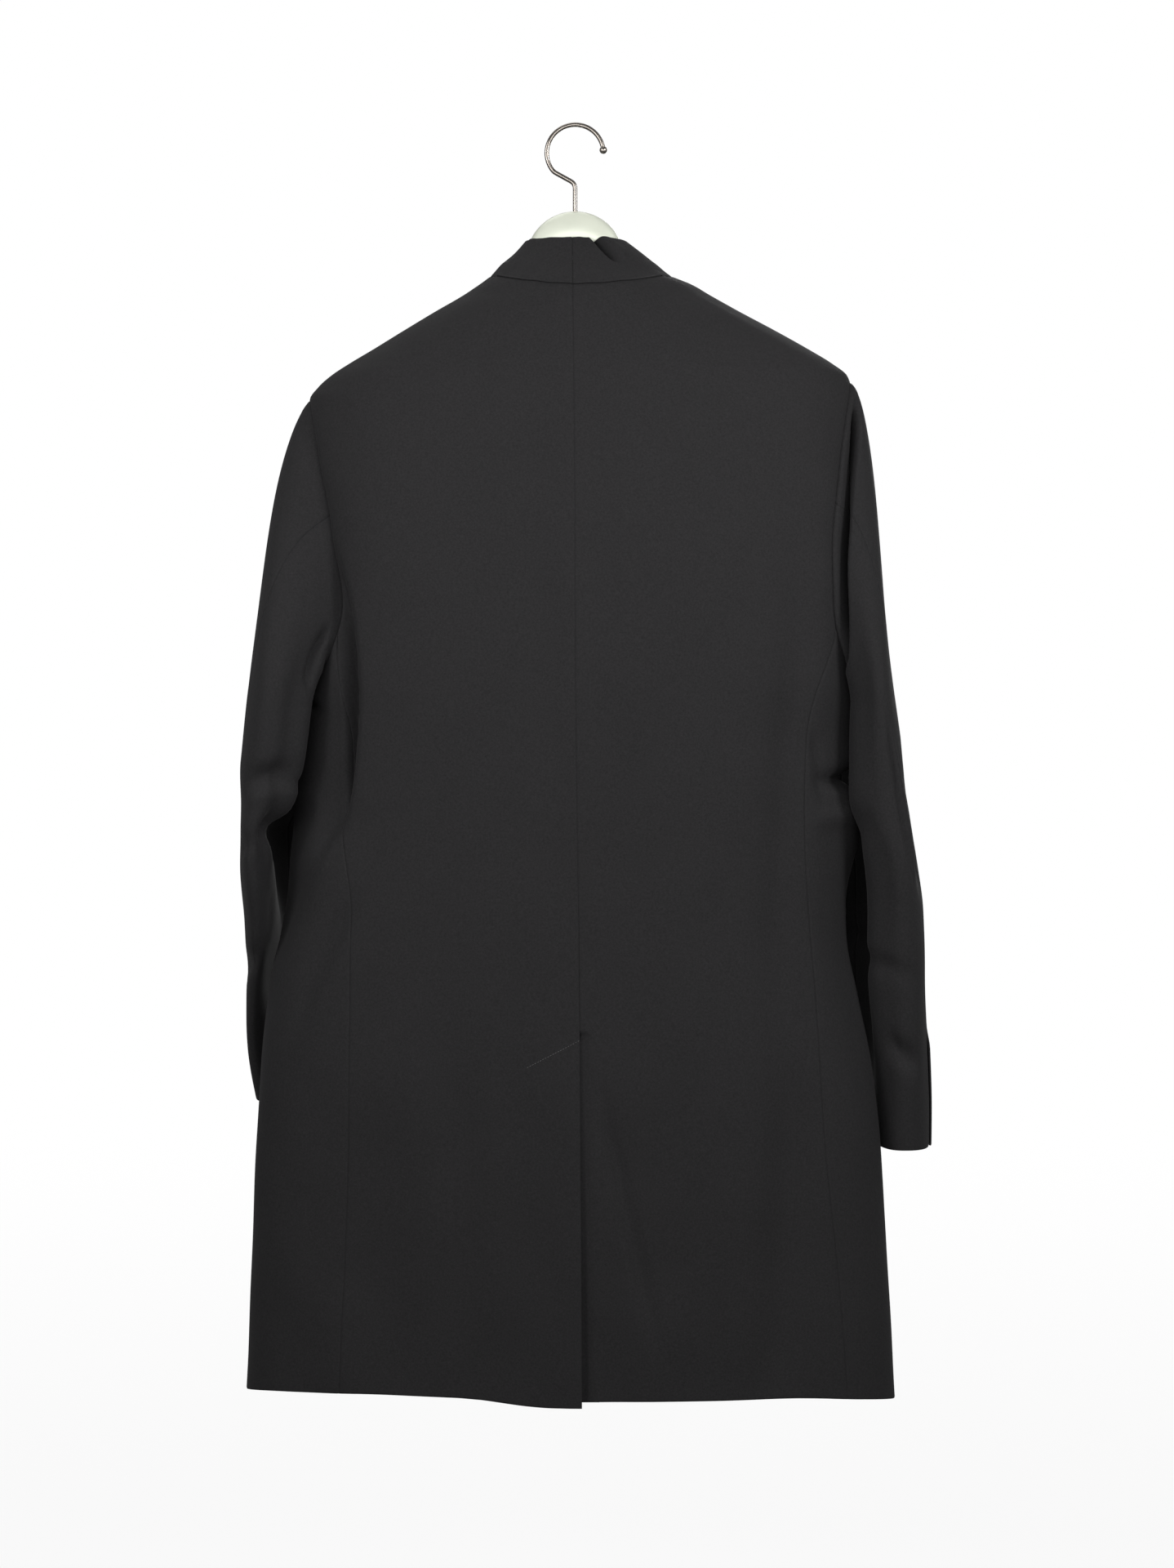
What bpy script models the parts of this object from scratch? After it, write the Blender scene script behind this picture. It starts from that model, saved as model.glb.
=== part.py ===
"""Long collarless coat on a contoured hanger, hung by the hanger's hook.

Metres, +Z up. The origin is the top of the hook's inside, where it hangs on a rail. The coat's back
faces -Y and its front faces +Y, so +X is the wearer's right. Every cloth piece is a thin wall cut from
one of two surfaces: the body, read at (share of a half girth, height), and the sleeve, read at
(turn round the arm, way down the arm).
"""

import math

import bpy
import numpy as np

# Cloth
CLOTH = 0.0015  # wall of the cloth with what backs it
SEAM_GAP = 0.0003  # between two pieces at a seam
LAYER_GAP = 0.0007  # between two layers that lie on each other

# Heights
STAND_TOP_Z = -0.0930  # top edge of the neck stand
NECK_SEAM_CENTRE_Z = -0.1345  # neck seam at the centre back
NECK_POINT_Z = -0.1236  # neck seam where it meets the shoulder seam
VENT_TOP_Z = -0.7410
HEM_Z = -1.0335  # at the centre back, before each half's own fall below

# Front edge
BREAK_Z = -0.5000  # where the neckline ends and the front edge falls straight
FRONT_WRAP = 0.0200  # each front passes the centre front by this much
NECK_EDGE_X = 0.0385  # neckline edge at the side of the neck

# Back vent
UNDERLAP = 0.0370  # width of the layer under the vent
UNDERLAP_SLANT = 0.0220  # how far the underlap's top edge falls across that width

# Sleeve
SLEEVE_COLUMNS = 30
BACK_JOINT = 11  # column of the armhole where the back meets the side panel
FRONT_JOINT = 19  # column of the armhole where the side panel meets the front
ELBOW_TURN = 81.0  # turn of the armhole, in degrees, where the elbow seam starts
FOREARM_TURN = 240.0  # turn of the armhole where the forearm seam starts
SLEEVE_BOXY = 2.5  # 2 makes its sections true ovals
CUFF_VENT = 0.1000  # length of the slit in the elbow seam

# Hanger
HOOK_WIRE = 0.0019  # radius of the hook's wire
HOOK_RADIUS = 0.0233  # of the hook's bow, to the middle of the wire
HOOK_BALL = 0.0032
DOME_TOP_Z = -0.0692
DOME_RADIUS = 0.0403
DOME_HALF = 0.0355  # half the dome's width, where it goes down into the neck
ARM_ROOT = 0.0364  # distance from the middle where the arms start, inside the neck
ARM_ROOT_Z = -0.0968
ARM_REACH = {-1: 0.1960, 1: 0.2030}
ARM_CLEARANCE = 0.0018  # between the hanger's arm and the shoulder lying on it

BODY_STEP = (0.012, 0.002)  # of girth and height, over which slopes are measured
SLEEVE_STEP = (2.5, -0.012)  # of turn and way, the same
GIRTH_STEPS = 160  # straight bits that a quarter of the girth is measured in
LEFT, RIGHT = -1, 1
SIDE_NAMES = {LEFT: "left", RIGHT: "right"}


def table(columns, rows):
    """Rows of numbers as one array for each named column."""
    return dict(zip(columns.split(), np.array(rows, float).T))


# Half widths to the left and right of the hanger's middle, depths behind and before it, and how
# boxy the girth is there, from 2 for an ellipse upwards.
TORSO = table(
    "z left right back front boxy_back boxy_front",
    [
        (-0.0915, 0.0385, 0.0385, 0.0200, 0.0180, 2.2, 2.2),
        (-0.1040, 0.0493, 0.0548, 0.0260, 0.0250, 2.2, 2.2),
        (-0.1136, 0.0603, 0.0665, 0.0315, 0.0310, 2.2, 2.2),
        (-0.1236, 0.0693, 0.0790, 0.0380, 0.0390, 2.2, 2.2),
        (-0.1303, 0.0780, 0.0947, 0.0430, 0.0440, 2.2, 2.2),
        (-0.1410, 0.0947, 0.1137, 0.0490, 0.0500, 2.1, 2.2),
        (-0.1520, 0.1140, 0.1335, 0.0540, 0.0550, 2.1, 2.2),
        (-0.1690, 0.1424, 0.1657, 0.0600, 0.0610, 2.1, 2.2),
        (-0.1840, 0.1667, 0.1928, 0.0640, 0.0650, 2.1, 2.2),
        (-0.1953, 0.1855, 0.2115, 0.0670, 0.0680, 2.1, 2.2),
        (-0.2047, 0.1995, 0.2230, 0.0690, 0.0700, 2.15, 2.2),
        (-0.2141, 0.2100, 0.2260, 0.0705, 0.0720, 2.15, 2.2),
        (-0.2248, 0.2172, 0.2268, 0.0720, 0.0740, 2.2, 2.2),
        (-0.2700, 0.2160, 0.2262, 0.0765, 0.0790, 2.4, 2.3),
        (-0.3300, 0.2120, 0.2250, 0.0800, 0.0840, 2.7, 2.5),
        (-0.3900, 0.2090, 0.2265, 0.0815, 0.0880, 2.9, 2.7),
        (-0.4500, 0.2090, 0.2270, 0.0815, 0.0900, 2.9, 2.7),
        (-0.5100, 0.2120, 0.2215, 0.0805, 0.0900, 2.8, 2.6),
        (-0.5600, 0.2140, 0.2215, 0.0795, 0.0890, 2.7, 2.5),
        (-0.6100, 0.2300, 0.2213, 0.0785, 0.0880, 2.6, 2.3),
        (-0.6600, 0.2425, 0.2215, 0.0780, 0.0875, 2.5, 2.0),
        (-0.7100, 0.2508, 0.2290, 0.0780, 0.0870, 2.5, 1.9),
        (-0.7600, 0.2560, 0.2385, 0.0780, 0.0865, 2.5, 1.95),
        (-0.8300, 0.2605, 0.2475, 0.0775, 0.0860, 2.5, 2.1),
        (-0.9300, 0.2658, 0.2565, 0.0765, 0.0850, 2.4, 2.2),
        (-1.0600, 0.2710, 0.2640, 0.0750, 0.0830, 2.4, 2.2),
    ],
)

# Where the seam between back and side panel crosses the back.
BACK_SEAM = table(
    "z left right",
    [
        (-0.4200, 0.1873, 0.1990),
        (-0.4700, 0.1880, 0.1900),
        (-0.5660, 0.1887, 0.1856),
        (-0.6400, 0.1807, 0.1885),
        (-0.7200, 0.1812, 0.1950),
        (-0.8300, 0.1827, 0.2022),
        (-0.9600, 0.1870, 0.2150),
        (-1.0600, 0.1906, 0.2219),
    ],
)

# Height of the hem round each half: it falls towards the fronts, and a little at the vent's edge.
HEM = table(
    "girth left right",
    [
        (-0.20, -1.0385, -1.0337),
        (0.05, -1.0385, -1.0337),
        (0.30, -1.0310, -1.0335),
        (0.60, -1.0290, -1.0330),
        (0.80, -1.0300, -1.0365),
        (1.00, -1.0345, -1.0420),
        (1.30, -1.0480, -1.0500),
        (1.60, -1.0540, -1.0560),
        (1.85, -1.0600, -1.0580),
        (2.15, -1.0605, -1.0580),
    ],
)

# The centre back seam leans a little to the wearer's right on its way down.
CENTRE_SEAM = table("z x", [(-0.0915, -0.0022), (-0.4000, 0.0005), (-0.7410, 0.0045), (-1.0600, 0.0061)])

# Armhole: its highest and lowest point, and how far it reaches behind and before the side.
ARMHOLE = table(
    "side top bottom back front",
    [
        (LEFT, -0.2248, -0.4550, 0.0420, 0.0470),
        (RIGHT, -0.2100, -0.4520, 0.0430, 0.0470),
    ],
)

# The way each sleeve's cap leaves the armhole, and how long it keeps that way.
CAP = table("side out back down fullness", [(LEFT, 0.70, 0.26, 0.70, 0.50), (RIGHT, 0.95, 0.50, 0.40, 0.29)])

# Level sections of each sleeve below the underarm: the middle, half the width across and half the
# depth along the arm's swing, the turn of that depth inwards at the front in degrees, how far the
# front end bends round the body, and the rise to the front.
SLEEVE = {
    LEFT: table(
        "z x y wide deep turn bend tilt",
        [
            (-0.4750, 0.2402, 0.0040, 0.0270, 0.0720, 2, 0.012, 0.00),
            (-0.5200, 0.2464, 0.0070, 0.0258, 0.0720, 2, 0.020, 0.00),
            (-0.5550, 0.2535, 0.0110, 0.0195, 0.0710, 1, 0.032, 0.01),
            (-0.5800, 0.2610, 0.0140, 0.0128, 0.0700, 0, 0.042, 0.02),
            (-0.6100, 0.2595, 0.0190, 0.0142, 0.0680, 1, 0.030, 0.04),
            (-0.6500, 0.2575, 0.0340, 0.0130, 0.0660, 2, 0.024, 0.07),
            (-0.7000, 0.2596, 0.0580, 0.0098, 0.0640, 4, 0.026, 0.11),
            (-0.7500, 0.2465, 0.0770, 0.0120, 0.0600, 20, 0.012, 0.14),
            (-0.7950, 0.2310, 0.0930, 0.0150, 0.0570, 34, 0.004, 0.17),
        ],
    ),
    RIGHT: table(
        "z x y wide deep turn bend tilt",
        [
            (-0.4750, 0.2432, 0.0060, 0.0170, 0.0740, 2, 0.016, 0.00),
            (-0.5200, 0.2462, 0.0080, 0.0208, 0.0730, 2, 0.028, 0.00),
            (-0.5670, 0.2505, 0.0110, 0.0240, 0.0710, 2, 0.030, 0.00),
            (-0.6050, 0.2595, 0.0140, 0.0202, 0.0700, 2, 0.034, 0.02),
            (-0.6400, 0.2628, 0.0180, 0.0213, 0.0680, 2, 0.042, 0.03),
            (-0.6900, 0.2638, 0.0230, 0.0230, 0.0650, 2, 0.042, 0.04),
            (-0.7400, 0.2660, 0.0280, 0.0230, 0.0620, 2, 0.036, 0.05),
            (-0.7900, 0.2678, 0.0330, 0.0230, 0.0600, 2, 0.022, 0.05),
            (-0.8350, 0.2690, 0.0370, 0.0225, 0.0580, 2, 0.006, 0.05),
        ],
    ),
}

# Large folds of the body: from one place to another on the (girth, height) sheet, half width and
# height of the fold, inwards if negative.
BODY_FOLDS = table(
    "side girth z girth_end z_end half height",
    [
        (LEFT, 0.80, -0.440, 0.84, -0.600, 0.016, -0.0060),
        (LEFT, 0.86, -0.590, 0.98, -0.690, 0.016, -0.0050),
        (LEFT, 0.55, -0.760, 0.52, -1.060, 0.030, -0.0035),
        (RIGHT, 0.86, -0.545, 1.30, -0.520, 0.013, -0.0160),
        (RIGHT, 0.78, -0.300, 0.74, -0.860, 0.020, -0.0035),
        (RIGHT, 0.12, -0.780, 0.36, -1.000, 0.022, -0.0060),
        (RIGHT, 0.80, -0.800, 0.72, -1.000, 0.024, -0.0045),
        (LEFT, 1.45, -0.520, 1.62, -1.060, 0.035, -0.0060),
        (RIGHT, 1.50, -0.560, 1.40, -1.060, 0.035, -0.0060),
        (LEFT, 1.30, -0.300, 1.42, -0.520, 0.024, -0.0050),
        (RIGHT, 1.32, -0.300, 1.44, -0.520, 0.024, -0.0050),
    ],
)

# Large folds of the sleeves on the (turn, height) sheet, as above.
SLEEVE_FOLDS = table(
    "side turn z turn_end z_end half height",
    [
        (LEFT, 110, -0.572, 190, -0.585, 0.012, -0.0090),
        (LEFT, 50, -0.540, 150, -0.526, 0.009, -0.0065),
        (LEFT, 95, -0.466, 165, -0.474, 0.008, -0.0080),
        (LEFT, 20, -0.690, 120, -0.680, 0.010, -0.0040),
        (RIGHT, 20, -0.500, 40, -0.640, 0.012, -0.0050),
        (RIGHT, 110, -0.560, 200, -0.600, 0.014, -0.0060),
        (RIGHT, 60, -0.770, 130, -0.745, 0.010, -0.0045),
        (LEFT, 230, -0.600, 290, -0.560, 0.014, -0.0060),
        (RIGHT, 230, -0.620, 290, -0.580, 0.014, -0.0060),
    ],
)

# The right sleeve folds in on itself along the back of its armhole.
CREVICE_DEPTH = 0.0110
CREVICE_FROM_SEAM = 0.0150
CREVICE_HALF = 0.0065

SLEEVE_CLOTH_LENGTH = 0.0010  # of cloth for each degree round the arm, for measuring folds
BODY_CLOTH_LENGTH = 0.2500  # of cloth for each quarter of the girth, for measuring folds


def smooth(x, y, at):
    """A cubic curve through the points (x, y) that never overshoots them, read at `at`."""
    order = np.argsort(x)
    x, y = x[order], y[order]
    step = np.diff(x)
    rise = np.diff(y) / step
    slope = np.concatenate([rise[:1], np.zeros(len(x) - 2), rise[-1:]])
    product = rise[:-1] * rise[1:]
    same_way = product > 0
    slope[1:-1][same_way] = 2 * product[same_way] / (rise[:-1] + rise[1:])[same_way]
    at = np.clip(at, x[0], x[-1])
    i = np.clip(np.searchsorted(x, at, side="right") - 1, 0, len(step) - 1)
    t = (at - x[i]) / step[i]
    start = (1 + 2 * t) * (1 - t) ** 2 * y[i] + t * (1 - t) ** 2 * step[i] * slope[i]
    end = t * t * (3 - 2 * t) * y[i + 1] + t * t * (t - 1) * step[i] * slope[i + 1]
    return start + end


def ease(low, high, value):
    """0 up to low, 1 from high on, and a smooth step between; high may lie below low."""
    t = np.clip((value - low) / (high - low), 0, 1)
    return t * t * (3 - 2 * t)


def fold_height(folds, side, across, z, first, last, length):
    """Sum of the folds at (across, z): each is a rounded ridge or trough that fades at both ends."""
    height = 0.0
    for row in zip(*folds.values()):
        if row[0] != side:
            continue
        start = np.array([row[1] * length, row[2]])
        run = np.array([row[3] * length, row[4]]) - start
        away = np.stack([across * length, z], -1) - start
        along = np.clip(away @ run / (run @ run), 0, 1)
        gap = np.linalg.norm(away - along[..., None] * run, axis=-1)
        fade = ease(first, last, along) * ease(1 - first, 1 - last, along)
        height = height + row[6] * np.exp(-((gap / row[5]) ** 2)) * fade
    return height


# The body


def depth(z, front):
    """Depth and boxiness of the body before or behind its side at each height."""
    before = [smooth(TORSO["z"], TORSO[name], z) for name in ("front", "boxy_front")]
    behind = [smooth(TORSO["z"], TORSO[name], z) for name in ("back", "boxy_back")]
    return [np.where(front, one, other) for one, other in zip(before, behind)]


def quarter(side, z, front):
    """Points of one quarter of the girth from the centre line to the side, and the share of its
    length at each, for the back or the front at each height."""
    wide = smooth(TORSO["z"], TORSO[SIDE_NAMES[side]], z)[..., None]
    deep, boxy = (sizes[..., None] for sizes in depth(z, front))
    power = 2 / boxy
    angle = np.linspace(0, math.pi / 2, GIRTH_STEPS)
    x = wide * np.sin(angle) ** power
    y = np.where(front, 1, -1)[..., None] * deep * np.cos(angle).clip(0) ** power
    length = np.hypot(np.diff(x), np.diff(y)).cumsum(-1)
    length = np.concatenate([np.zeros_like(length[..., :1]), length], -1)
    return x, y, length / length[..., -1:]


def read_between(values, place):
    """Each row of values read at a place between two of its entries."""
    i = np.clip(place.astype(int), 0, values.shape[-1] - 2)[..., None]
    low = np.take_along_axis(values, i, -1)[..., 0]
    high = np.take_along_axis(values, i + 1, -1)[..., 0]
    return low + (high - low) * (place - i[..., 0])


def body_base(side, girth, z):
    """The body without folds: girth is 0 at the centre back, 1 at the side, 2 at the centre front.
    Past either centre it carries on over the other half."""
    girth, z = np.broadcast_arrays(girth, z)
    front = girth > 1
    x, y, share = quarter(side, z, front)
    wanted = np.where(front, 2 - girth, girth)
    i = np.clip((share < np.abs(wanted)[..., None]).sum(-1) - 1, 0, GIRTH_STEPS - 2)
    low = np.take_along_axis(share, i[..., None], -1)[..., 0]
    high = np.take_along_axis(share, i[..., None] + 1, -1)[..., 0]
    place = i + (np.abs(wanted) - low) / (high - low)
    across = read_between(x, place) * np.where(wanted < 0, -1, 1)
    return np.stack([side * across, read_between(y, place), z], -1)


def girth_at_x(side, z, x, front):
    """Where the back or the front of the body has this distance from the middle."""
    z, x = np.broadcast_arrays(z, x)
    wide = smooth(TORSO["z"], TORSO[SIDE_NAMES[side]], z)
    angle = np.arcsin(np.clip(np.abs(x) / wide, 0, 1) ** (depth(z, front)[1] / 2))
    share = quarter(side, z, np.full(z.shape, front))[2]
    share = read_between(share, angle / (math.pi / 2) * (GIRTH_STEPS - 1)) * np.sign(x)
    return 2 - share if front else share


def girth_at_y(side, z, y):
    """Where the body has this depth: behind the side if y is negative, else before it."""
    front = y > 0
    deep, boxy = depth(z, front)
    angle = np.arccos(np.clip(np.abs(y) / deep, 0, 1) ** (boxy / 2))
    share = read_between(quarter(side, z, front)[2], angle / (math.pi / 2) * (GIRTH_STEPS - 1))
    return np.where(front, 2 - share, share)


def normals(surface, across, down, step, facing):
    """The outward direction of a surface, from its slopes over a step each way."""
    over = surface(across + step[0], down) - surface(across - step[0], down)
    up = surface(across, down + step[1]) - surface(across, down - step[1])
    outward = facing * np.cross(over, up)
    return outward / np.linalg.norm(outward, axis=-1, keepdims=True)


def body(side, layer=None):
    """The body's surface with its folds; layer is a function of (girth, z) that lifts a piece."""

    def bare(girth, z):
        return body_base(side, girth, z)

    def surface(girth, z):
        girth, z = np.broadcast_arrays(girth, z)
        height = fold_height(BODY_FOLDS, side, girth, z, 0, 0.35, BODY_CLOTH_LENGTH)
        if layer is not None:
            height = height + layer(girth, z)
        return bare(girth, z) + normals(bare, girth, z, BODY_STEP, side) * height[..., None]

    return surface


def centre_back(side, z):
    """Girth of the centre back seam, seen from this side's half."""
    return girth_at_x(side, z, side * smooth(CENTRE_SEAM["z"], CENTRE_SEAM["x"], z), False)


def armhole(side):
    """Girth and height of each column of the armhole, from the shoulder tip round by the back."""
    row = 0 if side == LEFT else 1
    top, bottom = ARMHOLE["top"][row], ARMHOLE["bottom"][row]
    turn = np.arange(SLEEVE_COLUMNS) * math.tau / SLEEVE_COLUMNS
    z = (top + bottom) / 2 + (top - bottom) / 2 * np.cos(turn)
    reach = np.where(turn < math.pi, -ARMHOLE["back"][row], ARMHOLE["front"][row])
    round_edge = np.abs(np.sin(turn)) ** 0.65 * (1 - 0.45 * np.cos(turn))
    return girth_at_y(side, z, reach * round_edge), z


def rows_of(side):
    """Heights of the rows that all of one side's body pieces share, from the neck seam down, and
    the numbers of the rows at the shoulder tip and where the side panel starts."""
    z = armhole(side)[1]
    tip, joint = z[0], z[BACK_JOINT]
    shoulder = np.linspace(NECK_POINT_Z, tip, 9)[:-1]
    vent = [VENT_TOP_Z + 0.014, VENT_TOP_Z]
    upper = np.linspace(joint, vent[0], 12)[1:-1]
    lower = np.linspace(VENT_TOP_Z, HEM_Z, 10)[1:]
    rows = np.concatenate([shoulder, z[: BACK_JOINT + 1], upper, vent, lower])
    return rows, len(shoulder), len(shoulder) + BACK_JOINT


def side_seam(side, z, front):
    """Girth of the seam between the side panel and the back or the front, which starts at the armhole."""
    girth, height = armhole(side)
    start = FRONT_JOINT if front else BACK_JOINT

    def plain(at):
        if front:
            return np.full_like(at, 1.40)
        return girth_at_x(side, at, smooth(BACK_SEAM["z"], BACK_SEAM[SIDE_NAMES[side]], at), False)

    shift = girth[start] - plain(height[start : start + 1])[0]
    return plain(z) + shift * ease(height[start] - 0.09, height[start], z)


def outer_edge(side, rows, tip, joint, front):
    """Girth of a back's or front's outer edge at each row: shoulder seam, armhole, then side seam."""
    girth, _ = armhole(side)
    edge = np.ones(len(rows))
    columns = np.arange(joint - tip + 1)
    edge[tip : joint + 1] = girth[-columns if front else columns]
    edge[joint:] = side_seam(side, rows[joint:], front)
    return edge


def hem(side, girth, z):
    """Heights moved so that the lowest rows follow the hem round the body."""
    drop = HEM_Z - smooth(HEM["girth"], HEM[SIDE_NAMES[side]], girth)
    return z - drop * ease(-0.75, HEM_Z, z)


def inset(edge, other, side, z):
    """An edge moved half a seam gap towards another edge, measured on the body."""
    near = body_base(side, edge, z)
    far = body_base(side, edge + 0.01 * np.sign(other - edge), z)
    metres = np.linalg.norm(far - near, axis=-1) / 0.01
    return edge + np.sign(other - edge) * SEAM_GAP / 2 / metres


def vent_layer(side):
    """The left back lies over the right one below the vent's top."""

    def lift(girth, z):
        from_seam = np.abs(girth - centre_back(side, z)) * BODY_CLOTH_LENGTH
        open_part = ease(VENT_TOP_Z, HEM_Z, z)
        if side == LEFT:
            return 0.0020 * ease(0.035, 0.0, from_seam) * open_part
        under = np.where(girth < centre_back(side, z), 0.0, from_seam)
        depth = CLOTH + LAYER_GAP + 0.0015 * open_part
        return -depth * ease(0.022, 0.002, under) * ease(VENT_TOP_Z + 0.012, VENT_TOP_Z, z)

    return lift


def front_layer(side):
    """The left front lies over the right one below the point of the neckline."""

    def lift(girth, z):
        if side == LEFT:
            return 0.0 * girth
        from_centre = (2 - girth) * BODY_CLOTH_LENGTH
        depth = CLOTH + LAYER_GAP
        return -depth * ease(0.050, 0.024, from_centre) * ease(-0.305, -0.345, z)

    return lift


def neckline(side, z):
    """Girth of the front edge: from the side of the neck to the break, then straight down."""
    share = np.clip((STAND_TOP_Z - z) / (STAND_TOP_Z - BREAK_Z), 0, 1)
    x = NECK_EDGE_X - (NECK_EDGE_X + FRONT_WRAP) * share
    return np.maximum(girth_at_x(side, z, x, True), 1)


def back_piece(side):
    """Half of the back: rows from the neck and shoulder seams to the hem, columns from the centre."""
    rows, tip, joint = rows_of(side)
    outer = outer_edge(side, rows, tip, joint, False)
    centre = centre_back(side, rows)
    centre = inset(centre, outer, side, rows)
    outer = inset(outer, centre, side, rows)
    share = np.linspace(0, 1, 9)
    share[1] = 0.09
    girth = centre[:, None] + (outer - centre)[:, None] * share
    z = np.repeat(rows[:, None], len(share), 1)
    seam_drop = NECK_SEAM_CENTRE_Z - NECK_POINT_Z
    z = z + seam_drop * (1 - ease(0, 1, girth)) * ease(-0.21, NECK_POINT_Z, z)
    cells = np.ones((len(rows) - 1, len(share) - 1), bool)
    if side == RIGHT:
        girth, z, cells = with_underlap(girth, z, cells)
    z = hem(side, girth, z)
    return wall("back_" + SIDE_NAMES[side], body(side, vent_layer(side)), girth, z, BODY_STEP, side, cells)


def with_underlap(girth, z, cells):
    """The right back's grid with the vent's underlap added past the centre, below the vent's top."""
    share = np.array([1, 0.5])
    extra = girth[:, :1] - share * UNDERLAP / BODY_CLOTH_LENGTH
    extra_z = z[:, :1] - share * UNDERLAP_SLANT * ease(-0.80, VENT_TOP_Z, z[:, :1])
    open_rows = (z[1:, :1] < VENT_TOP_Z - 0.001) & np.ones(2, bool)
    return np.hstack([extra, girth]), np.hstack([extra_z, z]), np.hstack([open_rows, cells])


def side_piece(side):
    """The panel under the arm: its top is the bottom of the armhole."""
    rows, _, joint = rows_of(side)
    rows = rows[joint:]
    arc_girth, arc_z = (values[BACK_JOINT : FRONT_JOINT + 1] for values in armhole(side))
    back, front = side_seam(side, rows, False), side_seam(side, rows, True)
    back, front = inset(back, front, side, rows), inset(front, back, side, rows)
    share = (arc_girth - arc_girth[0]) / (arc_girth[-1] - arc_girth[0])
    girth = back[:, None] + (front - back)[:, None] * share
    fade = ease(rows[4], rows[0], rows)[:, None]
    z = rows[:, None] + (arc_z - arc_z[0]) * fade
    return wall("side_" + SIDE_NAMES[side], body(side), girth, hem(side, girth, z), BODY_STEP, side)


def front_piece(side):
    """The front with its grown-on neck stand, which runs on round the neck to the centre back."""
    rows, tip, joint = rows_of(side)
    stand_share = np.array([0, 0.4, 0.75, 1])
    stand = STAND_TOP_Z + (NECK_POINT_Z - STAND_TOP_Z) * stand_share
    rows = np.concatenate([stand[:-1], rows])
    added = len(stand) - 1
    outer = outer_edge(side, rows[added:], tip, joint, True)
    outer = np.concatenate([np.ones(added), outer])
    edge = neckline(side, rows)
    edge[0] = 1.10
    inner = inset(outer, edge, side, rows)
    inner[:added] = 1
    share = np.linspace(0, 1, 10)
    girth = inner[:, None] + (edge - inner)[:, None] * share
    z = np.repeat(rows[:, None], len(share), 1)

    centre = inset(centre_back(side, rows), np.ones(len(rows)), side, rows)[:, None]
    neck_share = np.linspace(0, 1, 7)[:-1]
    neck_girth = centre + (inner[:, None] - centre) * neck_share
    seam = NECK_SEAM_CENTRE_Z + SEAM_GAP + (NECK_POINT_Z - NECK_SEAM_CENTRE_Z) * ease(0, 1, neck_girth)
    lift = np.clip((rows[:, None] - NECK_POINT_Z) / (STAND_TOP_Z - NECK_POINT_Z), 0, 1)
    neck_z = seam + (STAND_TOP_Z - seam) * lift
    cells = np.ones((len(rows) - 1, len(share) + len(neck_share) - 1), bool)
    cells[added:, : len(neck_share)] = False
    girth, z = np.hstack([neck_girth, girth]), hem(side, girth, z)
    z = np.hstack([neck_z, z])
    return wall("front_" + SIDE_NAMES[side], body(side, front_layer(side)), girth, z, BODY_STEP, side, cells)


# The sleeves


def swollen(share):
    """A sine or cosine pushed outwards, which makes an oval of it boxier."""
    return np.sign(share) * np.abs(share) ** (2 / SLEEVE_BOXY)


def sleeve_section(side, turn, z):
    """A level oval of the sleeve: turn is 0 on the outer side and 90 degrees at the back."""
    sizes = {name: smooth(SLEEVE[side]["z"], column, z) for name, column in SLEEVE[side].items()}
    yaw = np.radians(sizes["turn"])
    outwards = np.stack([side * np.cos(yaw), np.sin(yaw)], -1)
    forwards = np.stack([-side * np.sin(yaw), np.cos(yaw)], -1)
    across, back = (swollen(part(np.radians(turn))) for part in (np.cos, np.sin))
    across = sizes["wide"] * across - sizes["bend"] * np.clip(-back, 0, 1) ** 4
    reach = across[..., None] * outwards - (sizes["deep"] * back)[..., None] * forwards
    middle = np.stack([side * sizes["x"], sizes["y"]], -1)
    return np.concatenate([middle + reach, (z + sizes["tilt"] * reach[..., 1])[..., None]], -1)


def armhole_points(side, turn):
    """The armhole as a closed curve on the body, read at any turn between its columns."""
    girth, z = armhole(side)
    ring = body(side)(girth, z)
    place = np.mod(turn, 360) / 360 * SLEEVE_COLUMNS
    i = np.floor(place).astype(int) % SLEEVE_COLUMNS
    t = (place - np.floor(place))[..., None]
    return ring[i] * (1 - t) + ring[(i + 1) % SLEEVE_COLUMNS] * t


def sleeve_base(side, turn, way):
    """The sleeve without folds: way is 0 at the armhole, 1 under the arm and 2 at the cuff."""
    turn, way = np.broadcast_arrays(turn, way)
    top, cuff = SLEEVE[side]["z"][0], SLEEVE[side]["z"][-1]
    angle = np.radians(turn)
    start = armhole_points(side, turn)
    end = sleeve_section(side, turn, np.full(turn.shape, top))
    row = 0 if side == LEFT else 1
    out, back, down, fullness = (CAP[name][row] for name in ("out", "back", "down", "fullness"))
    down = down * (0.2 + 0.8 * np.cos(angle / 2) ** 2)
    leave = np.stack([np.full(turn.shape, side * out), -back * np.sin(angle), -down], -1)
    leave = leave / np.linalg.norm(leave, axis=-1, keepdims=True)
    start = start + leave * SEAM_GAP
    span = np.linalg.norm(end - start, axis=-1, keepdims=True)
    below = sleeve_section(side, turn, np.full(turn.shape, top - 0.01))
    fall = (below - end) / np.linalg.norm(below - end, axis=-1, keepdims=True)
    t = np.clip(way, -0.1, 1)[..., None]
    cap = (1 + 2 * t) * (1 - t) ** 2 * start + t * (1 - t) ** 2 * span * fullness * leave
    cap = cap + t * t * (3 - 2 * t) * end + t * t * (t - 1) * span * fall
    arm = sleeve_section(side, turn, top + (cuff - top) * np.clip(way - 1, 0, 1.1))
    return np.where(t < 1, cap, arm)


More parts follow.
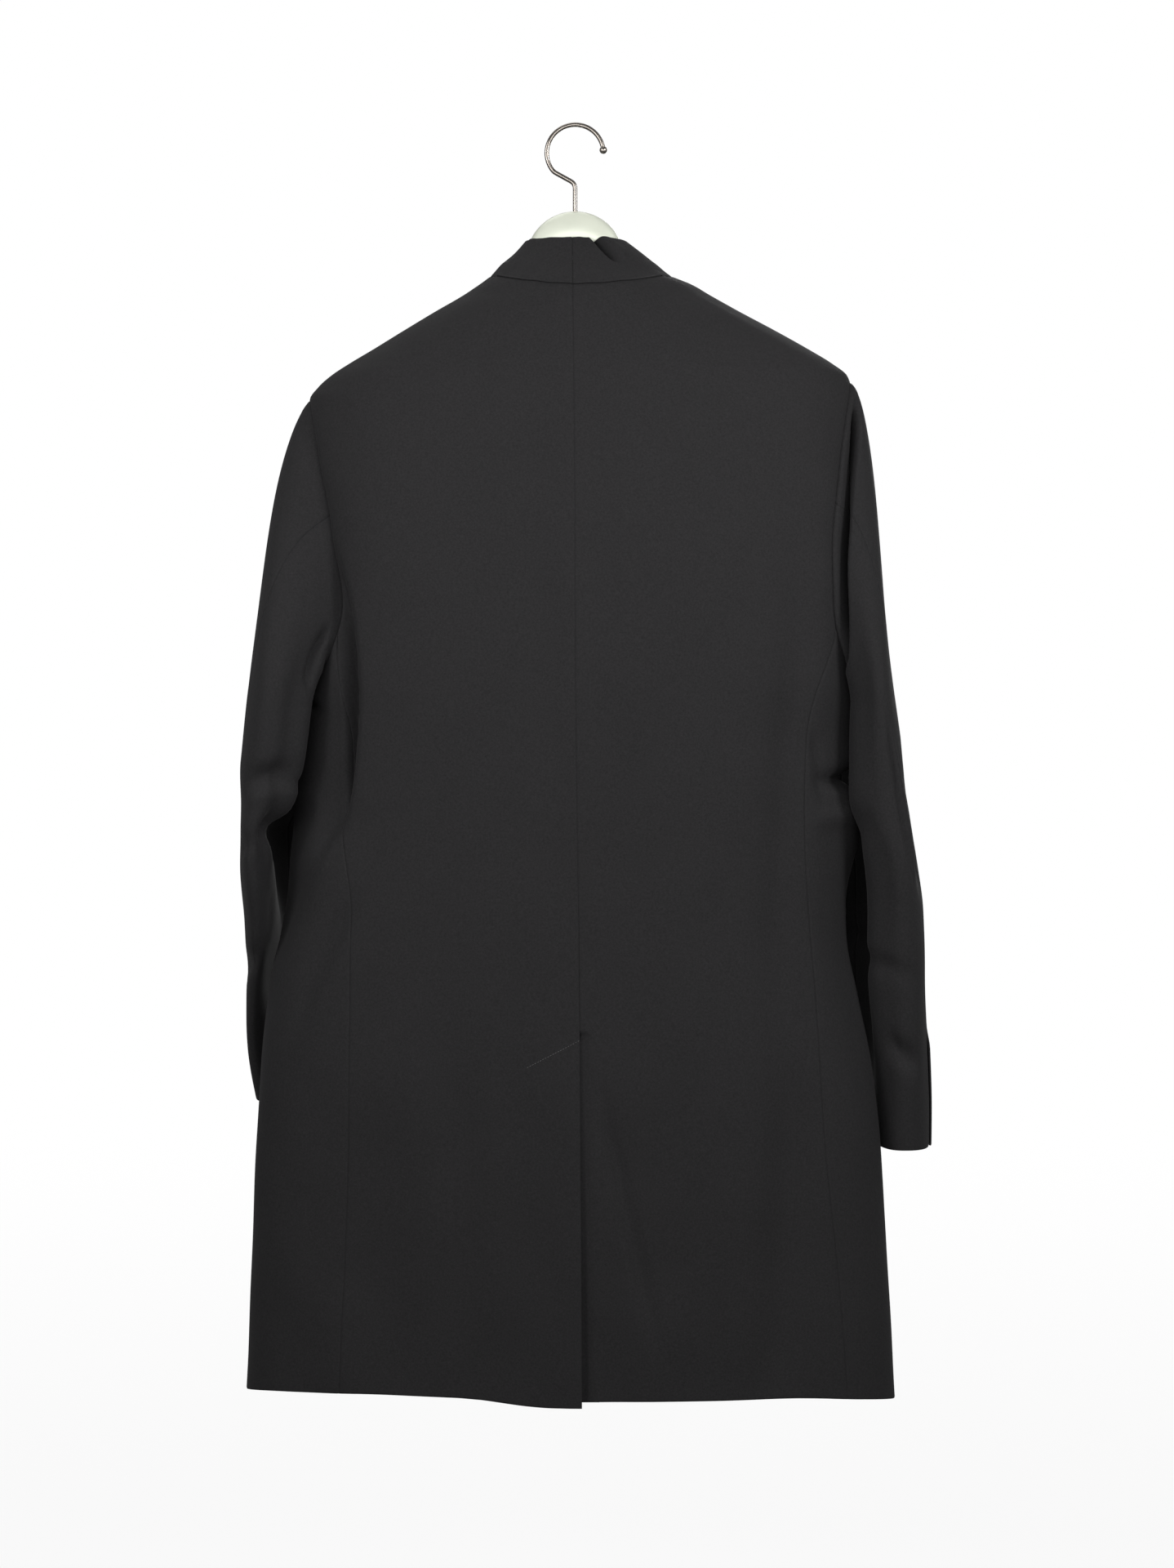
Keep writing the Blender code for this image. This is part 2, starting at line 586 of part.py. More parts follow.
def sleeve(side):
    """The sleeve's surface with its folds."""

    def bare(turn, way):
        return sleeve_base(side, turn, way)

    def surface(turn, way):
        turn, way = np.broadcast_arrays(turn, way)
        place = bare(turn, way)
        z = place[..., 2]
        height = fold_height(SLEEVE_FOLDS, side, np.mod(turn, 360), z, 0, 0.35, SLEEVE_CLOTH_LENGTH)
        height = height * ease(0.3, 0.8, way)
        if side == RIGHT:
            from_seam = np.linalg.norm(place - armhole_points(side, turn), axis=-1)
            groove = np.exp(-(((from_seam - CREVICE_FROM_SEAM) / CREVICE_HALF) ** 2))
            groove = groove * (way < 0.5)
            height = height - CREVICE_DEPTH * groove * ease(14, 40, turn) * ease(164, 136, turn)
        return place + normals(bare, turn, way, SLEEVE_STEP, -side) * height[..., None]

    return surface


def sleeve_ways(side):
    """Rows down a sleeve, closer together by the armhole."""
    cap = np.array([0, 0.045, 0.085, 0.13, 0.20, 0.30, 0.42, 0.56, 0.70, 0.85])
    top, cuff = SLEEVE[side]["z"][0], SLEEVE[side]["z"][-1]
    slit = 2 - CUFF_VENT / (top - cuff)
    arm = np.concatenate([np.linspace(1, slit, 10)[:-1], np.linspace(slit, 2, 5)])
    return np.concatenate([cap, arm])


def seam_turns(way):
    """Turn of the elbow seam and of the forearm seam at each row."""
    elbow = ELBOW_TURN - 55 * ease(0, 1.35, way)
    forearm = FOREARM_TURN - 20 * ease(0, 1.2, way)
    return elbow, forearm


def sleeve_piece(side, name, first, last, columns):
    """One of a sleeve's two pieces, between two seams given as turns at each row."""
    way = sleeve_ways(side)
    metre = 0.0008  # of cloth for each degree, where that is least
    gap = SEAM_GAP / 2 / metre
    first, last = first + gap, last - gap
    share = np.linspace(0, 1, columns + 1)
    turn = first[:, None] + (last - first)[:, None] * share
    way = np.repeat(way[:, None], columns + 1, 1)
    return wall(name + SIDE_NAMES[side], sleeve(side), turn, way, SLEEVE_STEP, -side)


def sleeve_pieces(side):
    """The top sleeve over the arm and the under sleeve beneath it."""
    elbow, forearm = seam_turns(sleeve_ways(side))
    sleeve_piece(side, "top_sleeve_", forearm - 360, elbow, 17)
    sleeve_piece(side, "under_sleeve_", elbow, forearm, 14)


# Meshes


def material(name, colour, roughness, metallic):
    made = bpy.data.materials.new(name)
    made.use_nodes = True
    shader = made.node_tree.nodes["Principled BSDF"]
    shader.inputs["Base Color"].default_value = (*colour, 1)
    shader.inputs["Roughness"].default_value = roughness
    shader.inputs["Metallic"].default_value = metallic
    made.diffuse_color = (*colour, 1)
    return made


def add_object(name, points, faces, finish):
    mesh = bpy.data.meshes.new(name)
    mesh.from_pydata(points.tolist(), [], faces)
    mesh.materials.append(finish)
    mesh.validate()
    mesh.shade_smooth()
    mesh.set_sharp_from_angle(angle=math.radians(40))
    made = bpy.data.objects.new(name, mesh)
    bpy.context.scene.collection.objects.link(made)
    return made


def wall(name, surface, across, down, step, facing, cells=None):
    """A closed wall of cloth: the surface's own points, the same points set in by the cloth's
    thickness, and a rim round every edge of the cells that are kept."""
    outer = surface(across, down)
    inner = outer - CLOTH * normals(surface, across, down, step, facing)
    rows, columns = across.shape
    if cells is None:
        cells = np.ones((rows - 1, columns - 1), bool)
    number = np.arange(rows * columns).reshape(rows, columns)
    far = rows * columns
    faces, edges = [], set()
    for row, column in np.argwhere(cells):
        corners = [number[row, column], number[row + 1, column]]
        corners += [number[row + 1, column + 1], number[row, column + 1]]
        corners = [int(c) for c in (corners if facing > 0 else corners[::-1])]
        faces.append(corners)
        faces.append([c + far for c in corners[::-1]])
        edges.update(zip(corners, corners[1:] + corners[:1]))
    faces += [[b, a, a + far, b + far] for a, b in sorted(edges) if (b, a) not in edges]
    points = np.concatenate([outer.reshape(-1, 3), inner.reshape(-1, 3)])
    used = sorted({corner for face in faces for corner in face})
    renumber = {old: new for new, old in enumerate(used)}
    faces = [[renumber[corner] for corner in face] for face in faces]
    return add_object(name, points[used], faces, bpy.data.materials["coat cloth"])


def tube(name, path, radii, sides, finish):
    """A round bar along a path in the XZ plane, with a radius at each point and closed ends."""
    along = np.gradient(path, axis=0)
    along /= np.linalg.norm(along, axis=1, keepdims=True)
    side_way = np.array([0.0, 1.0, 0.0])
    up_way = np.cross(along, side_way)
    angle = np.arange(sides) * math.tau / sides
    ring = np.cos(angle)[:, None] * side_way + np.sin(angle)[:, None] * up_way[:, None, :]
    points = (path[:, None] + radii[:, None, None] * ring).reshape(-1, 3)
    points = np.vstack([points, path[:1], path[-1:]])
    start, end = len(points) - 2, len(points) - 1
    faces = []
    for i in range(len(path) - 1):
        for k in range(sides):
            a, b = i * sides + k, i * sides + (k + 1) % sides
            faces.append([a, b, b + sides, a + sides])
    last = (len(path) - 1) * sides
    faces += [[start, (k + 1) % sides, k] for k in range(sides)]
    faces += [[end, last + k, last + (k + 1) % sides] for k in range(sides)]
    return add_object(name, points, faces, finish)


def arc(centre, radius, start, end, count):
    angle = np.radians(np.linspace(start, end, count))
    x = centre[0] + radius * np.cos(angle)
    z = centre[1] + radius * np.sin(angle)
    return np.stack([x, np.zeros(count), z], -1)


def hook():
    """The wire hook: stem, slanting neck, round bow and a ball on its end."""
    bow_z = -HOOK_RADIUS + HOOK_WIRE
    stem_top = -0.0500
    bow = arc((0, bow_z), HOOK_RADIUS, 222, 6, 26)
    stem = np.array([[0, 0, z] for z in np.linspace(DOME_TOP_Z + SEAM_GAP, stem_top, 4)])
    turn = arc((-0.0060, stem_top), 0.0060, 0, 55, 5)[1:]
    path = np.vstack([stem, turn, bow])
    fine = np.concatenate([[0], np.linalg.norm(np.diff(path, axis=0), axis=1).cumsum()])
    ball = fine[-1]
    end = np.linspace(ball - HOOK_BALL, ball + HOOK_BALL, 9)
    ahead = path[-1] - path[-2]
    ahead /= np.linalg.norm(ahead)
    kept = fine < end[0] - 0.0005
    ball_path = path[-1] + (end - ball)[:, None] * ahead
    radii = np.sqrt(np.maximum(HOOK_BALL**2 - (end - ball) ** 2, 1e-9))
    radii[0], radii[-1] = HOOK_WIRE, HOOK_BALL * 0.15
    radii = np.concatenate([np.full(kept.sum(), HOOK_WIRE), radii])
    path = np.vstack([path[kept], ball_path])
    return tube("hanger_hook", path, radii, 10, bpy.data.materials["hook steel"])


def ridge_height(side, x):
    """Height of the shoulder's ridge at a distance from the middle."""
    z = np.linspace(STAND_TOP_Z, armhole(side)[1][0], 200)
    return np.interp(x, smooth(TORSO["z"], TORSO[SIDE_NAMES[side]], z), z)


def hanger_top(side, x):
    """Height of the hanger's top edge: a dome in the neck, then just under the coat's shoulder."""
    if x <= DOME_HALF:
        return DOME_TOP_Z - DOME_RADIUS + math.sqrt(DOME_RADIUS**2 - x**2)
    fall = (ridge_height(side, x - 0.002) - ridge_height(side, x + 0.002)) / 0.004
    return min(ridge_height(side, x) - (CLOTH + ARM_CLEARANCE) * math.sqrt(1 + fall**2), ARM_ROOT_Z)


def hanger_body():
    """The hanger: oval sections across the shoulders, deeper front to back towards the ends."""
    dome = [DOME_HALF * share for share in (0.17, 0.34, 0.51, 0.67, 0.81, 0.92, 1.0)]
    shares = np.array([0.0, 0.026, 0.056, 0.09, 0.13, 0.17, 0.22, 0.28, 0.34, 0.41, 0.49, 0.58, 0.67])
    shares = np.concatenate([shares, [0.75, 0.82, 0.88, 0.93, 0.97, 0.99]])
    stations = [(RIGHT, 0.0)]
    for side in (LEFT, RIGHT):
        arm = [ARM_ROOT + (ARM_REACH[side] - ARM_ROOT) * share for share in shares]
        added = [(side, x) for x in dome + arm]
        stations = added[::-1] + stations if side == LEFT else stations + added
    sides = 12
    angle = np.arange(sides) * math.tau / sides
    rings = []
    for side, x in stations:
        share = max(x - ARM_ROOT, 0) / (ARM_REACH[side] - ARM_ROOT)
        top = hanger_top(side, x)
        end_round = math.sqrt(max(1 - ease(0.88, 1.0, share) ** 2, 0.04))
        height = (0.0330 - 0.0100 * share) * end_round
        deep = (0.0085 + 0.0115 * ease(0.05, 0.9, share)) * end_round
        ring = [np.full(sides, side * x), deep * np.cos(angle), top - height / 2 * (1 - np.sin(angle))]
        rings.append(np.stack(ring, -1))
    points = np.concatenate(rings + [[rings[0].mean(0)], [rings[-1].mean(0)]])
    faces = []
    for i in range(len(rings) - 1):
        for k in range(sides):
            a, b = i * sides + k, i * sides + (k + 1) % sides
            faces.append([a, b, b + sides, a + sides])
    start, last = len(points) - 2, (len(rings) - 1) * sides
    faces += [[start, (k + 1) % sides, k] for k in range(sides)]
    faces += [[start + 1, last + k, last + (k + 1) % sides] for k in range(sides)]
    return add_object("hanger_body", points, faces, bpy.data.materials["hanger silver"])


def main():
    for old in list(bpy.data.objects):
        bpy.data.objects.remove(old)
    material("coat cloth", (0.028, 0.028, 0.029), 0.75, 0.0)
    material("hanger silver", (0.62, 0.63, 0.57), 0.38, 0.5)
    material("hook steel", (0.48, 0.44, 0.41), 0.25, 1.0)
    hook()
    hanger_body()
    for side in (LEFT, RIGHT):
        back_piece(side)
        side_piece(side)
        front_piece(side)
        sleeve_pieces(side)


main()
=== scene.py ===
"""Long collarless coat on a contoured hanger, seen from behind.

Metres, +Z up. The origin is the top of the hook's inside, where it hangs on a rail. The coat's back
faces -Y and its front faces +Y, so +X is the wearer's right. Every cloth piece is a thin closed wall
read from one of two surfaces: the body, at (share of a half girth, height), and the sleeve, at
(turn round the arm, way down the arm). Seams, folds and edges are heights added along its normals.
"""

import math

import bpy
import numpy as np
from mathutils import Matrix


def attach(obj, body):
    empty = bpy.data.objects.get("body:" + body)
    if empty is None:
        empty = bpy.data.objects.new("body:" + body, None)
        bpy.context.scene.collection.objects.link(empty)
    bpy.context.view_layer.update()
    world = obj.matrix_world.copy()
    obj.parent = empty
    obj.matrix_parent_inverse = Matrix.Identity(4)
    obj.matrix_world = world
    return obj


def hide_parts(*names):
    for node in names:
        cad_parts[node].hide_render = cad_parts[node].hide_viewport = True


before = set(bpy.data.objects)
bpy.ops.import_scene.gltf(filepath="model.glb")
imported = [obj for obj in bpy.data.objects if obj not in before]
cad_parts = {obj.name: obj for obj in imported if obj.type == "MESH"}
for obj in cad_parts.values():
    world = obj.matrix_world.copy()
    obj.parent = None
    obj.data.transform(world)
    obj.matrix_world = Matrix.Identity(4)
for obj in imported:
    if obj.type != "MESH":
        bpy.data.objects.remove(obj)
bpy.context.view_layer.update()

LEFT, RIGHT = -1, 1
SIDE_NAMES = {LEFT: "left", RIGHT: "right"}

# Cloth
CLOTH = 0.0015  # thickness of a wall
LAYER_GAP = 0.0007  # between two layers that lie on each other
NECK_LAP = 0.0002  # how far the neck stand reaches over the back
ARMHOLE_LAP = 0.0008  # how far each sleeve reaches in under the edge of its armhole
EDGE_STEPS = np.array([0, 0.0003, 0.0007, 0.0012, 0.0020, 0.0034])  # columns near each edge
EDGE_FALL = 0.00045  # how far the cloth rolls in at its edges
EDGE_ROLL = 0.0007  # how wide that roll is
ALLOWANCE = 0.0115  # width of the seam allowance that shows through beside a seam
ALLOWANCE_LIFT = 0.00020
NO_EDGE = 0.1  # a distance at which an edge has no effect
ROW = 0.0042  # spacing of the rows
STAND_ROW, SHOULDER_ROW, VENT_ROW = 0.0016, 0.0022, 0.0015  # the same in finer places
ARMHOLE_ROW = 2.4  # the same along the armhole, in degrees of its turn
BACK_COLUMNS, SIDE_COLUMNS, FRONT_COLUMNS, STAND_COLUMNS = 66, 46, 70, 40
TOP_SLEEVE_COLUMNS, UNDER_SLEEVE_COLUMNS, UNDERLAP_COLUMNS = 62, 52, 14

# Heights
STAND_TOP_Z = -0.0930  # top edge of the neck stand
NECK_SEAM_CENTRE_Z = -0.1345  # neck seam at the centre back
NECK_POINT_Z = -0.1236  # neck seam where it meets the shoulder seam
LEVEL_Z = -0.2100  # from here down the back's rows no longer follow the neck seam
VENT_TOP_Z = -0.7410
HEM_Z = -1.0335  # at the centre back, before each half's own fall below

# Front
FRONT_SEAM = 1.4000  # girth of the seam between the side panel and the front
BREAK_Z = -0.5000  # where the neckline ends and the front edge falls straight
FRONT_WRAP = 0.0200  # each front passes the centre front by this much
NECK_EDGE_X = 0.0385  # neckline edge at the side of the neck

# Back vent
VENT_START = 0.0140  # how far above its top the rows come closer together
UNDERLAP = 0.0370  # width of the layer under the vent
UNDERLAP_SLANT = 0.0220  # how far the underlap's top edge falls across that width
STITCHES = 21  # of the slanting row that holds the underlap
STITCH_DROP = 0.0030  # from the vent's top to the row's start
STITCH_REACH = 0.0006  # half a stitch's length across
STITCH_FALL = 0.0004  # half its fall
STITCH_LIFT = 0.0001
STITCH_RADIUS = 0.00022
STITCH_SIDES = 8
VENT_SPREAD = 0.0020  # how far the upper layer stands off at the hem
VENT_SINK = 0.0015  # how far the lower one falls back there

# Sleeve
JOINT_TURN = 132.0  # turn of the armhole where back, or front mirrored, meets the side panel
ELBOW_TURN = 81.0  # turn of the armhole where the elbow seam starts
FOREARM_TURN = 240.0  # turn of the armhole where the forearm seam starts
SLEEVE_BOXY = 2.5  # 2 makes its sections true ovals
CUFF_VENT = 0.1000  # length of the slit in the elbow seam
CUFF_LAP = 0.0022  # how far the top sleeve stands out over the slit

# Hanger
HOOK_WIRE = 0.0019  # radius of the hook's wire
HOOK_RADIUS = 0.0233  # of the hook's bow, to the middle of the wire
HOOK_BOW = (222, 6)  # where the bow starts and ends, in degrees
HOOK_BALL = 0.0032
HOOK_SINK = 0.0015  # how far the stem reaches into the dome
HOOK_NECK_Z = -0.0500  # where the stem starts to slant
HOOK_NECK_RADIUS = 0.0060
HOOK_SIDES = 24
DOME_TOP_Z = -0.0692
DOME_RADIUS = 0.0403
DOME_HALF = 0.0355  # half the dome's width, where it goes down into the neck
ARM_ROOT = 0.0364  # distance from the middle where the arms start, inside the neck
ARM_ROOT_Z = -0.0968
ARM_REACH = {LEFT: 0.1960, RIGHT: 0.2030}
ARM_CLEARANCE = 0.0018  # between the hanger's arm and the shoulder lying on it
ARM_TALL = 0.0330  # height of its section in the middle
ARM_TAPER = 0.0100  # how much lower the section is at the ends
ARM_HALF_THICK = 0.0085  # half its depth in the middle
ARM_WIDENING = 0.0115  # how much more that is at the ends
ARM_SIDES = 32

BODY_STEP = (0.012, 0.002)  # of girth and height, over which slopes are measured
SLEEVE_STEP = (2.5, -0.012)  # of turn and way, the same
GIRTH_STEPS = 120  # straight bits that a quarter of the girth is measured in
BODY_CLOTH_LENGTH = 0.2500  # of cloth for each quarter of the girth
SLEEVE_CLOTH_LENGTH = 0.0010  # of cloth for each degree round the arm, for folds and weave
WAY_LENGTH = 0.3000  # of cloth for each unit of the way down the arm, for its weave
DEGREE = 0.0009  # of cloth for each degree round the arm, for distances to the seams
STAND_CLOTH_LENGTH = 0.0750  # of cloth for each quarter of the girth at the neck stand


def table(columns, rows):
    """Rows of numbers as one array for each named column."""
    return dict(zip(columns.split(), np.array(rows, float).T))


# Half widths to the left and right of the hanger's middle, depths behind and before it, and how
# boxy the girth is there, from 2 for an ellipse upwards.
TORSO = table(
    "z left right back front boxy_back boxy_front",
    [
        (-0.0915, 0.0385, 0.0385, 0.02, 0.018, 2.2, 2.2),
        (-0.104, 0.0493, 0.0548, 0.026, 0.025, 2.2, 2.2),
        (-0.1136, 0.0603, 0.0665, 0.0315, 0.031, 2.2, 2.2),
        (-0.1236, 0.0693, 0.079, 0.038, 0.039, 2.2, 2.2),
        (-0.1303, 0.078, 0.0947, 0.043, 0.044, 2.2, 2.2),
        (-0.141, 0.0947, 0.1137, 0.049, 0.05, 2.1, 2.2),
        (-0.152, 0.114, 0.1335, 0.054, 0.055, 2.1, 2.2),
        (-0.169, 0.1424, 0.1657, 0.06, 0.061, 2.1, 2.2),
        (-0.184, 0.1667, 0.1928, 0.064, 0.065, 2.1, 2.2),
        (-0.1953, 0.1855, 0.2115, 0.067, 0.068, 2.1, 2.2),
        (-0.2047, 0.1995, 0.223, 0.069, 0.07, 2.15, 2.2),
        (-0.2141, 0.21, 0.226, 0.0705, 0.072, 2.15, 2.2),
        (-0.2248, 0.2172, 0.2268, 0.072, 0.074, 2.2, 2.2),
        (-0.27, 0.216, 0.2262, 0.0765, 0.079, 2.4, 2.3),
        (-0.33, 0.212, 0.225, 0.08, 0.084, 2.7, 2.5),
        (-0.39, 0.209, 0.2265, 0.0815, 0.088, 2.9, 2.7),
        (-0.45, 0.209, 0.227, 0.0815, 0.09, 2.9, 2.7),
        (-0.51, 0.212, 0.2215, 0.0805, 0.09, 2.8, 2.6),
        (-0.56, 0.214, 0.2215, 0.0795, 0.089, 2.7, 2.5),
        (-0.61, 0.23, 0.2213, 0.0785, 0.088, 2.6, 2.3),
        (-0.66, 0.2425, 0.2215, 0.078, 0.0875, 2.5, 2),
        (-0.71, 0.2508, 0.229, 0.078, 0.087, 2.5, 1.9),
        (-0.76, 0.256, 0.2385, 0.078, 0.0865, 2.5, 1.95),
        (-0.83, 0.2605, 0.2475, 0.0775, 0.086, 2.5, 2.1),
        (-0.93, 0.2658, 0.2565, 0.0765, 0.085, 2.4, 2.2),
        (-1.06, 0.271, 0.264, 0.075, 0.083, 2.4, 2.2),
    ],
)

# Where the seam between back and side panel crosses the back.
BACK_SEAM = table(
    "z left right",
    [
        (-0.42, 0.1873, 0.199),
        (-0.47, 0.188, 0.19),
        (-0.566, 0.1887, 0.1856),
        (-0.64, 0.1807, 0.1885),
        (-0.72, 0.1812, 0.195),
        (-0.83, 0.1827, 0.2022),
        (-0.96, 0.187, 0.215),
        (-1.06, 0.1906, 0.2219),
    ],
)

# Height of the hem round each half: it falls towards the fronts, and a little at the vent's edge.
HEM = table(
    "girth left right",
    [
        (-0.2, -1.0385, -1.0337),
        (0.05, -1.0385, -1.0337),
        (0.3, -1.031, -1.0335),
        (0.6, -1.029, -1.033),
        (0.8, -1.03, -1.0365),
        (1, -1.0345, -1.042),
        (1.3, -1.048, -1.05),
        (1.6, -1.054, -1.056),
        (1.85, -1.06, -1.058),
        (2.15, -1.0605, -1.058),
    ],
)

# The centre back seam leans a little to the wearer's right on its way down.
CENTRE_SEAM = table(
    "z x",
    [(-0.0915, -0.0022), (-0.4, 0.0005), (-0.741, 0.0045), (-1.06, 0.0061)],
)

# Armhole: its highest and lowest point, and how far it reaches behind and before the side.
ARMHOLE = {LEFT: (-0.2248, -0.4550, 0.0420, 0.0470), RIGHT: (-0.2100, -0.4520, 0.0430, 0.0470)}

# The way each sleeve's cap leaves the armhole, outwards, back and down, and how long it keeps it.
CAP = {LEFT: (0.70, 0.26, 0.70, 0.50), RIGHT: (0.95, 0.50, 0.40, 0.29)}

# Level sections of each sleeve below the underarm: the middle, half the width across and half the
# depth along the arm's swing, the turn of that depth inwards at the front in degrees, how far the
# front end bends round the body, and the rise to the front.
SLEEVE = {
    LEFT: table(
        "z x y wide deep turn bend tilt",
        [
            (-0.475, 0.242, 0.004, 0.0252, 0.072, 2, 0.026, 0),
            (-0.52, 0.2474, 0.007, 0.0248, 0.072, 2, 0.028, 0),
            (-0.555, 0.2535, 0.011, 0.0195, 0.071, 1, 0.032, 0.01),
            (-0.58, 0.261, 0.014, 0.0128, 0.07, 0, 0.042, 0.02),
            (-0.61, 0.2595, 0.019, 0.0142, 0.068, 1, 0.03, 0.04),
            (-0.65, 0.2575, 0.034, 0.013, 0.066, 2, 0.024, 0.07),
            (-0.7, 0.2596, 0.058, 0.0098, 0.064, 4, 0.026, 0.11),
            (-0.75, 0.2465, 0.077, 0.012, 0.06, 20, 0.012, 0.14),
            (-0.795, 0.231, 0.093, 0.015, 0.057, 34, 0.004, 0.17),
        ],
    ),
    RIGHT: table(
        "z x y wide deep turn bend tilt",
        [
            (-0.475, 0.2432, 0.006, 0.017, 0.074, 2, 0.016, 0),
            (-0.52, 0.2462, 0.008, 0.0208, 0.073, 2, 0.028, 0),
            (-0.567, 0.2505, 0.011, 0.024, 0.071, 2, 0.03, 0),
            (-0.605, 0.2595, 0.014, 0.0202, 0.07, 2, 0.034, 0.02),
            (-0.64, 0.2628, 0.018, 0.0213, 0.068, 2, 0.042, 0.03),
            (-0.69, 0.2638, 0.023, 0.023, 0.065, 2, 0.042, 0.04),
            (-0.74, 0.266, 0.028, 0.023, 0.062, 2, 0.036, 0.05),
            (-0.79, 0.2678, 0.033, 0.023, 0.06, 2, 0.022, 0.05),
            (-0.835, 0.269, 0.037, 0.0225, 0.058, 2, 0.006, 0.05),
        ],
    ),
}

# Folds of the body: from one place to another on the (girth, height) sheet, sideways bow in metres,
# half width, lean (one flank wider than the other, -1 to 1) and height, inwards if negative.
FOLD_COLUMNS = "side across z across_end z_end bow half lean height"
BODY_FOLDS = table(
    FOLD_COLUMNS,
    [
        (LEFT, 0.8, -0.44, 0.84, -0.6, 0, 0.016, 0, -0.006),
        (LEFT, 0.86, -0.59, 0.98, -0.69, 0, 0.016, 0, -0.005),
        (LEFT, 0.55, -0.76, 0.52, -1.06, 0, 0.03, 0, -0.0035),
        (RIGHT, 0.84, -0.543, 1.3, -0.508, 0, 0.013, 0, -0.018),
        (RIGHT, 0.69, -0.24, 0.62, -0.9, 0, 0.016, 0, -0.0038),
        (RIGHT, 0.1, -0.78, 0.3, -1, 0, 0.02, 0, -0.0035),
        (RIGHT, 0.65, -0.74, 0.54, -1.075, 0, 0.018, 0, -0.0055),
        (LEFT, 1.45, -0.52, 1.62, -1.06, 0, 0.035, 0, -0.006),
        (RIGHT, 1.5, -0.56, 1.4, -1.06, 0, 0.035, 0, -0.006),
        (LEFT, 1.3, -0.3, 1.42, -0.52, 0, 0.024, 0, -0.005),
        (RIGHT, 1.32, -0.3, 1.44, -0.52, 0, 0.024, 0, -0.005),
        # finer ones on the back and beside the underarms
        (RIGHT, 0.73, -0.54, 1.25, -0.522, 0, 0.006, 0, -0.012),
        (RIGHT, 0.97, -0.4, 0.97, -0.64, 0, 0.018, 0, 0.015),
        (RIGHT, 0.72, -0.572, 1.1, -0.562, 0.004, 0.008, 0, 0.0035),
        (RIGHT, 0.93, -0.64, 0.96, -0.9, 0, 0.01, 0, 0.003),
        (LEFT, 0.825, -0.335, 0.83, -0.615, -0.022, 0.008, 0.3, -0.018),
        (LEFT, 1.02, -0.37, 1.02, -0.64, 0, 0.026, 0, 0.019),
        (LEFT, 0.785, -0.395, 0.795, -0.625, -0.003, 0.0045, 0, 0.0045),
        (LEFT, 1.16, -0.466, 0.85, -0.48, 0, 0.005, 0, -0.008),
        (LEFT, 1.16, -0.444, 0.88, -0.448, 0, 0.005, 0, -0.006),
        (RIGHT, 0.055, -0.76, 0.24, -1.015, 0, 0.0055, 0.2, -0.0035),
        (LEFT, 0.86, -0.27, 0.8, -0.47, 0.01, 0.02, 0.2, -0.003),
        (LEFT, 0.62, -0.93, 0.66, -1.06, 0, 0.02, 0, 0.002),
        (LEFT, 0.335, -0.68, 0.285, -1.05, 0, 0.016, 0, -0.003),
        (LEFT, 0.63, -0.615, 0.82, -0.755, 0.004, 0.009, 0.2, -0.004),
        (RIGHT, 0.9, -0.59, 0.98, -0.47, 0.004, 0.009, 0.2, 0.0042),
        (RIGHT, 0.745, -0.49, 0.8, -0.56, 0, 0.004, 0, -0.003),
        (RIGHT, 0.15, -0.8, 0.33, -1.04, 0, 0.016, 0.1, 0.0012),
        (RIGHT, 0.4, -0.78, 0.52, -1.06, -0.006, 0.028, 0.2, 0.002),
        # finer ones on the fronts and under the arms
        (LEFT, 1.62, -0.18, 1.46, -0.33, 0.006, 0.018, 0.2, -0.0025),
        (RIGHT, 1.6, -0.19, 1.45, -0.36, 0.006, 0.018, 0.2, -0.0025),
        (LEFT, 1.68, -0.62, 1.76, -1.06, 0.006, 0.026, 0.2, 0.0028),
        (RIGHT, 1.64, -0.66, 1.6, -1.06, -0.006, 0.028, 0.2, 0.0028),
        (LEFT, 1.2, -0.64, 1.24, -1.06, 0.006, 0.028, 0.2, -0.0035),
        (RIGHT, 1.18, -0.62, 1.14, -1.06, 0.004, 0.026, 0.2, -0.003),
        (LEFT, 1.1, -0.5, 1.36, -0.64, 0.01, 0.014, 0.3, -0.0035),
        (RIGHT, 1.4, -0.47, 1.16, -0.6, 0.01, 0.014, 0.3, -0.0035),
        (LEFT, 1.8, -0.5, 1.62, -0.6, 0.008, 0.015, 0.2, -0.0022),
        (RIGHT, 1.82, -0.52, 1.66, -0.64, 0.008, 0.016, 0.2, -0.002),
    ],
)

# Folds of the neck stand, on the same sheet.
STAND_FOLDS = table(
    FOLD_COLUMNS,
    [
        (RIGHT, 0.22, -0.078, 0.46, -0.118, 0, 0.004, 0.25, -0.0085),
        (RIGHT, 0.36, -0.078, 0.62, -0.115, 0, 0.0075, 0, 0.0024),
    ],
)

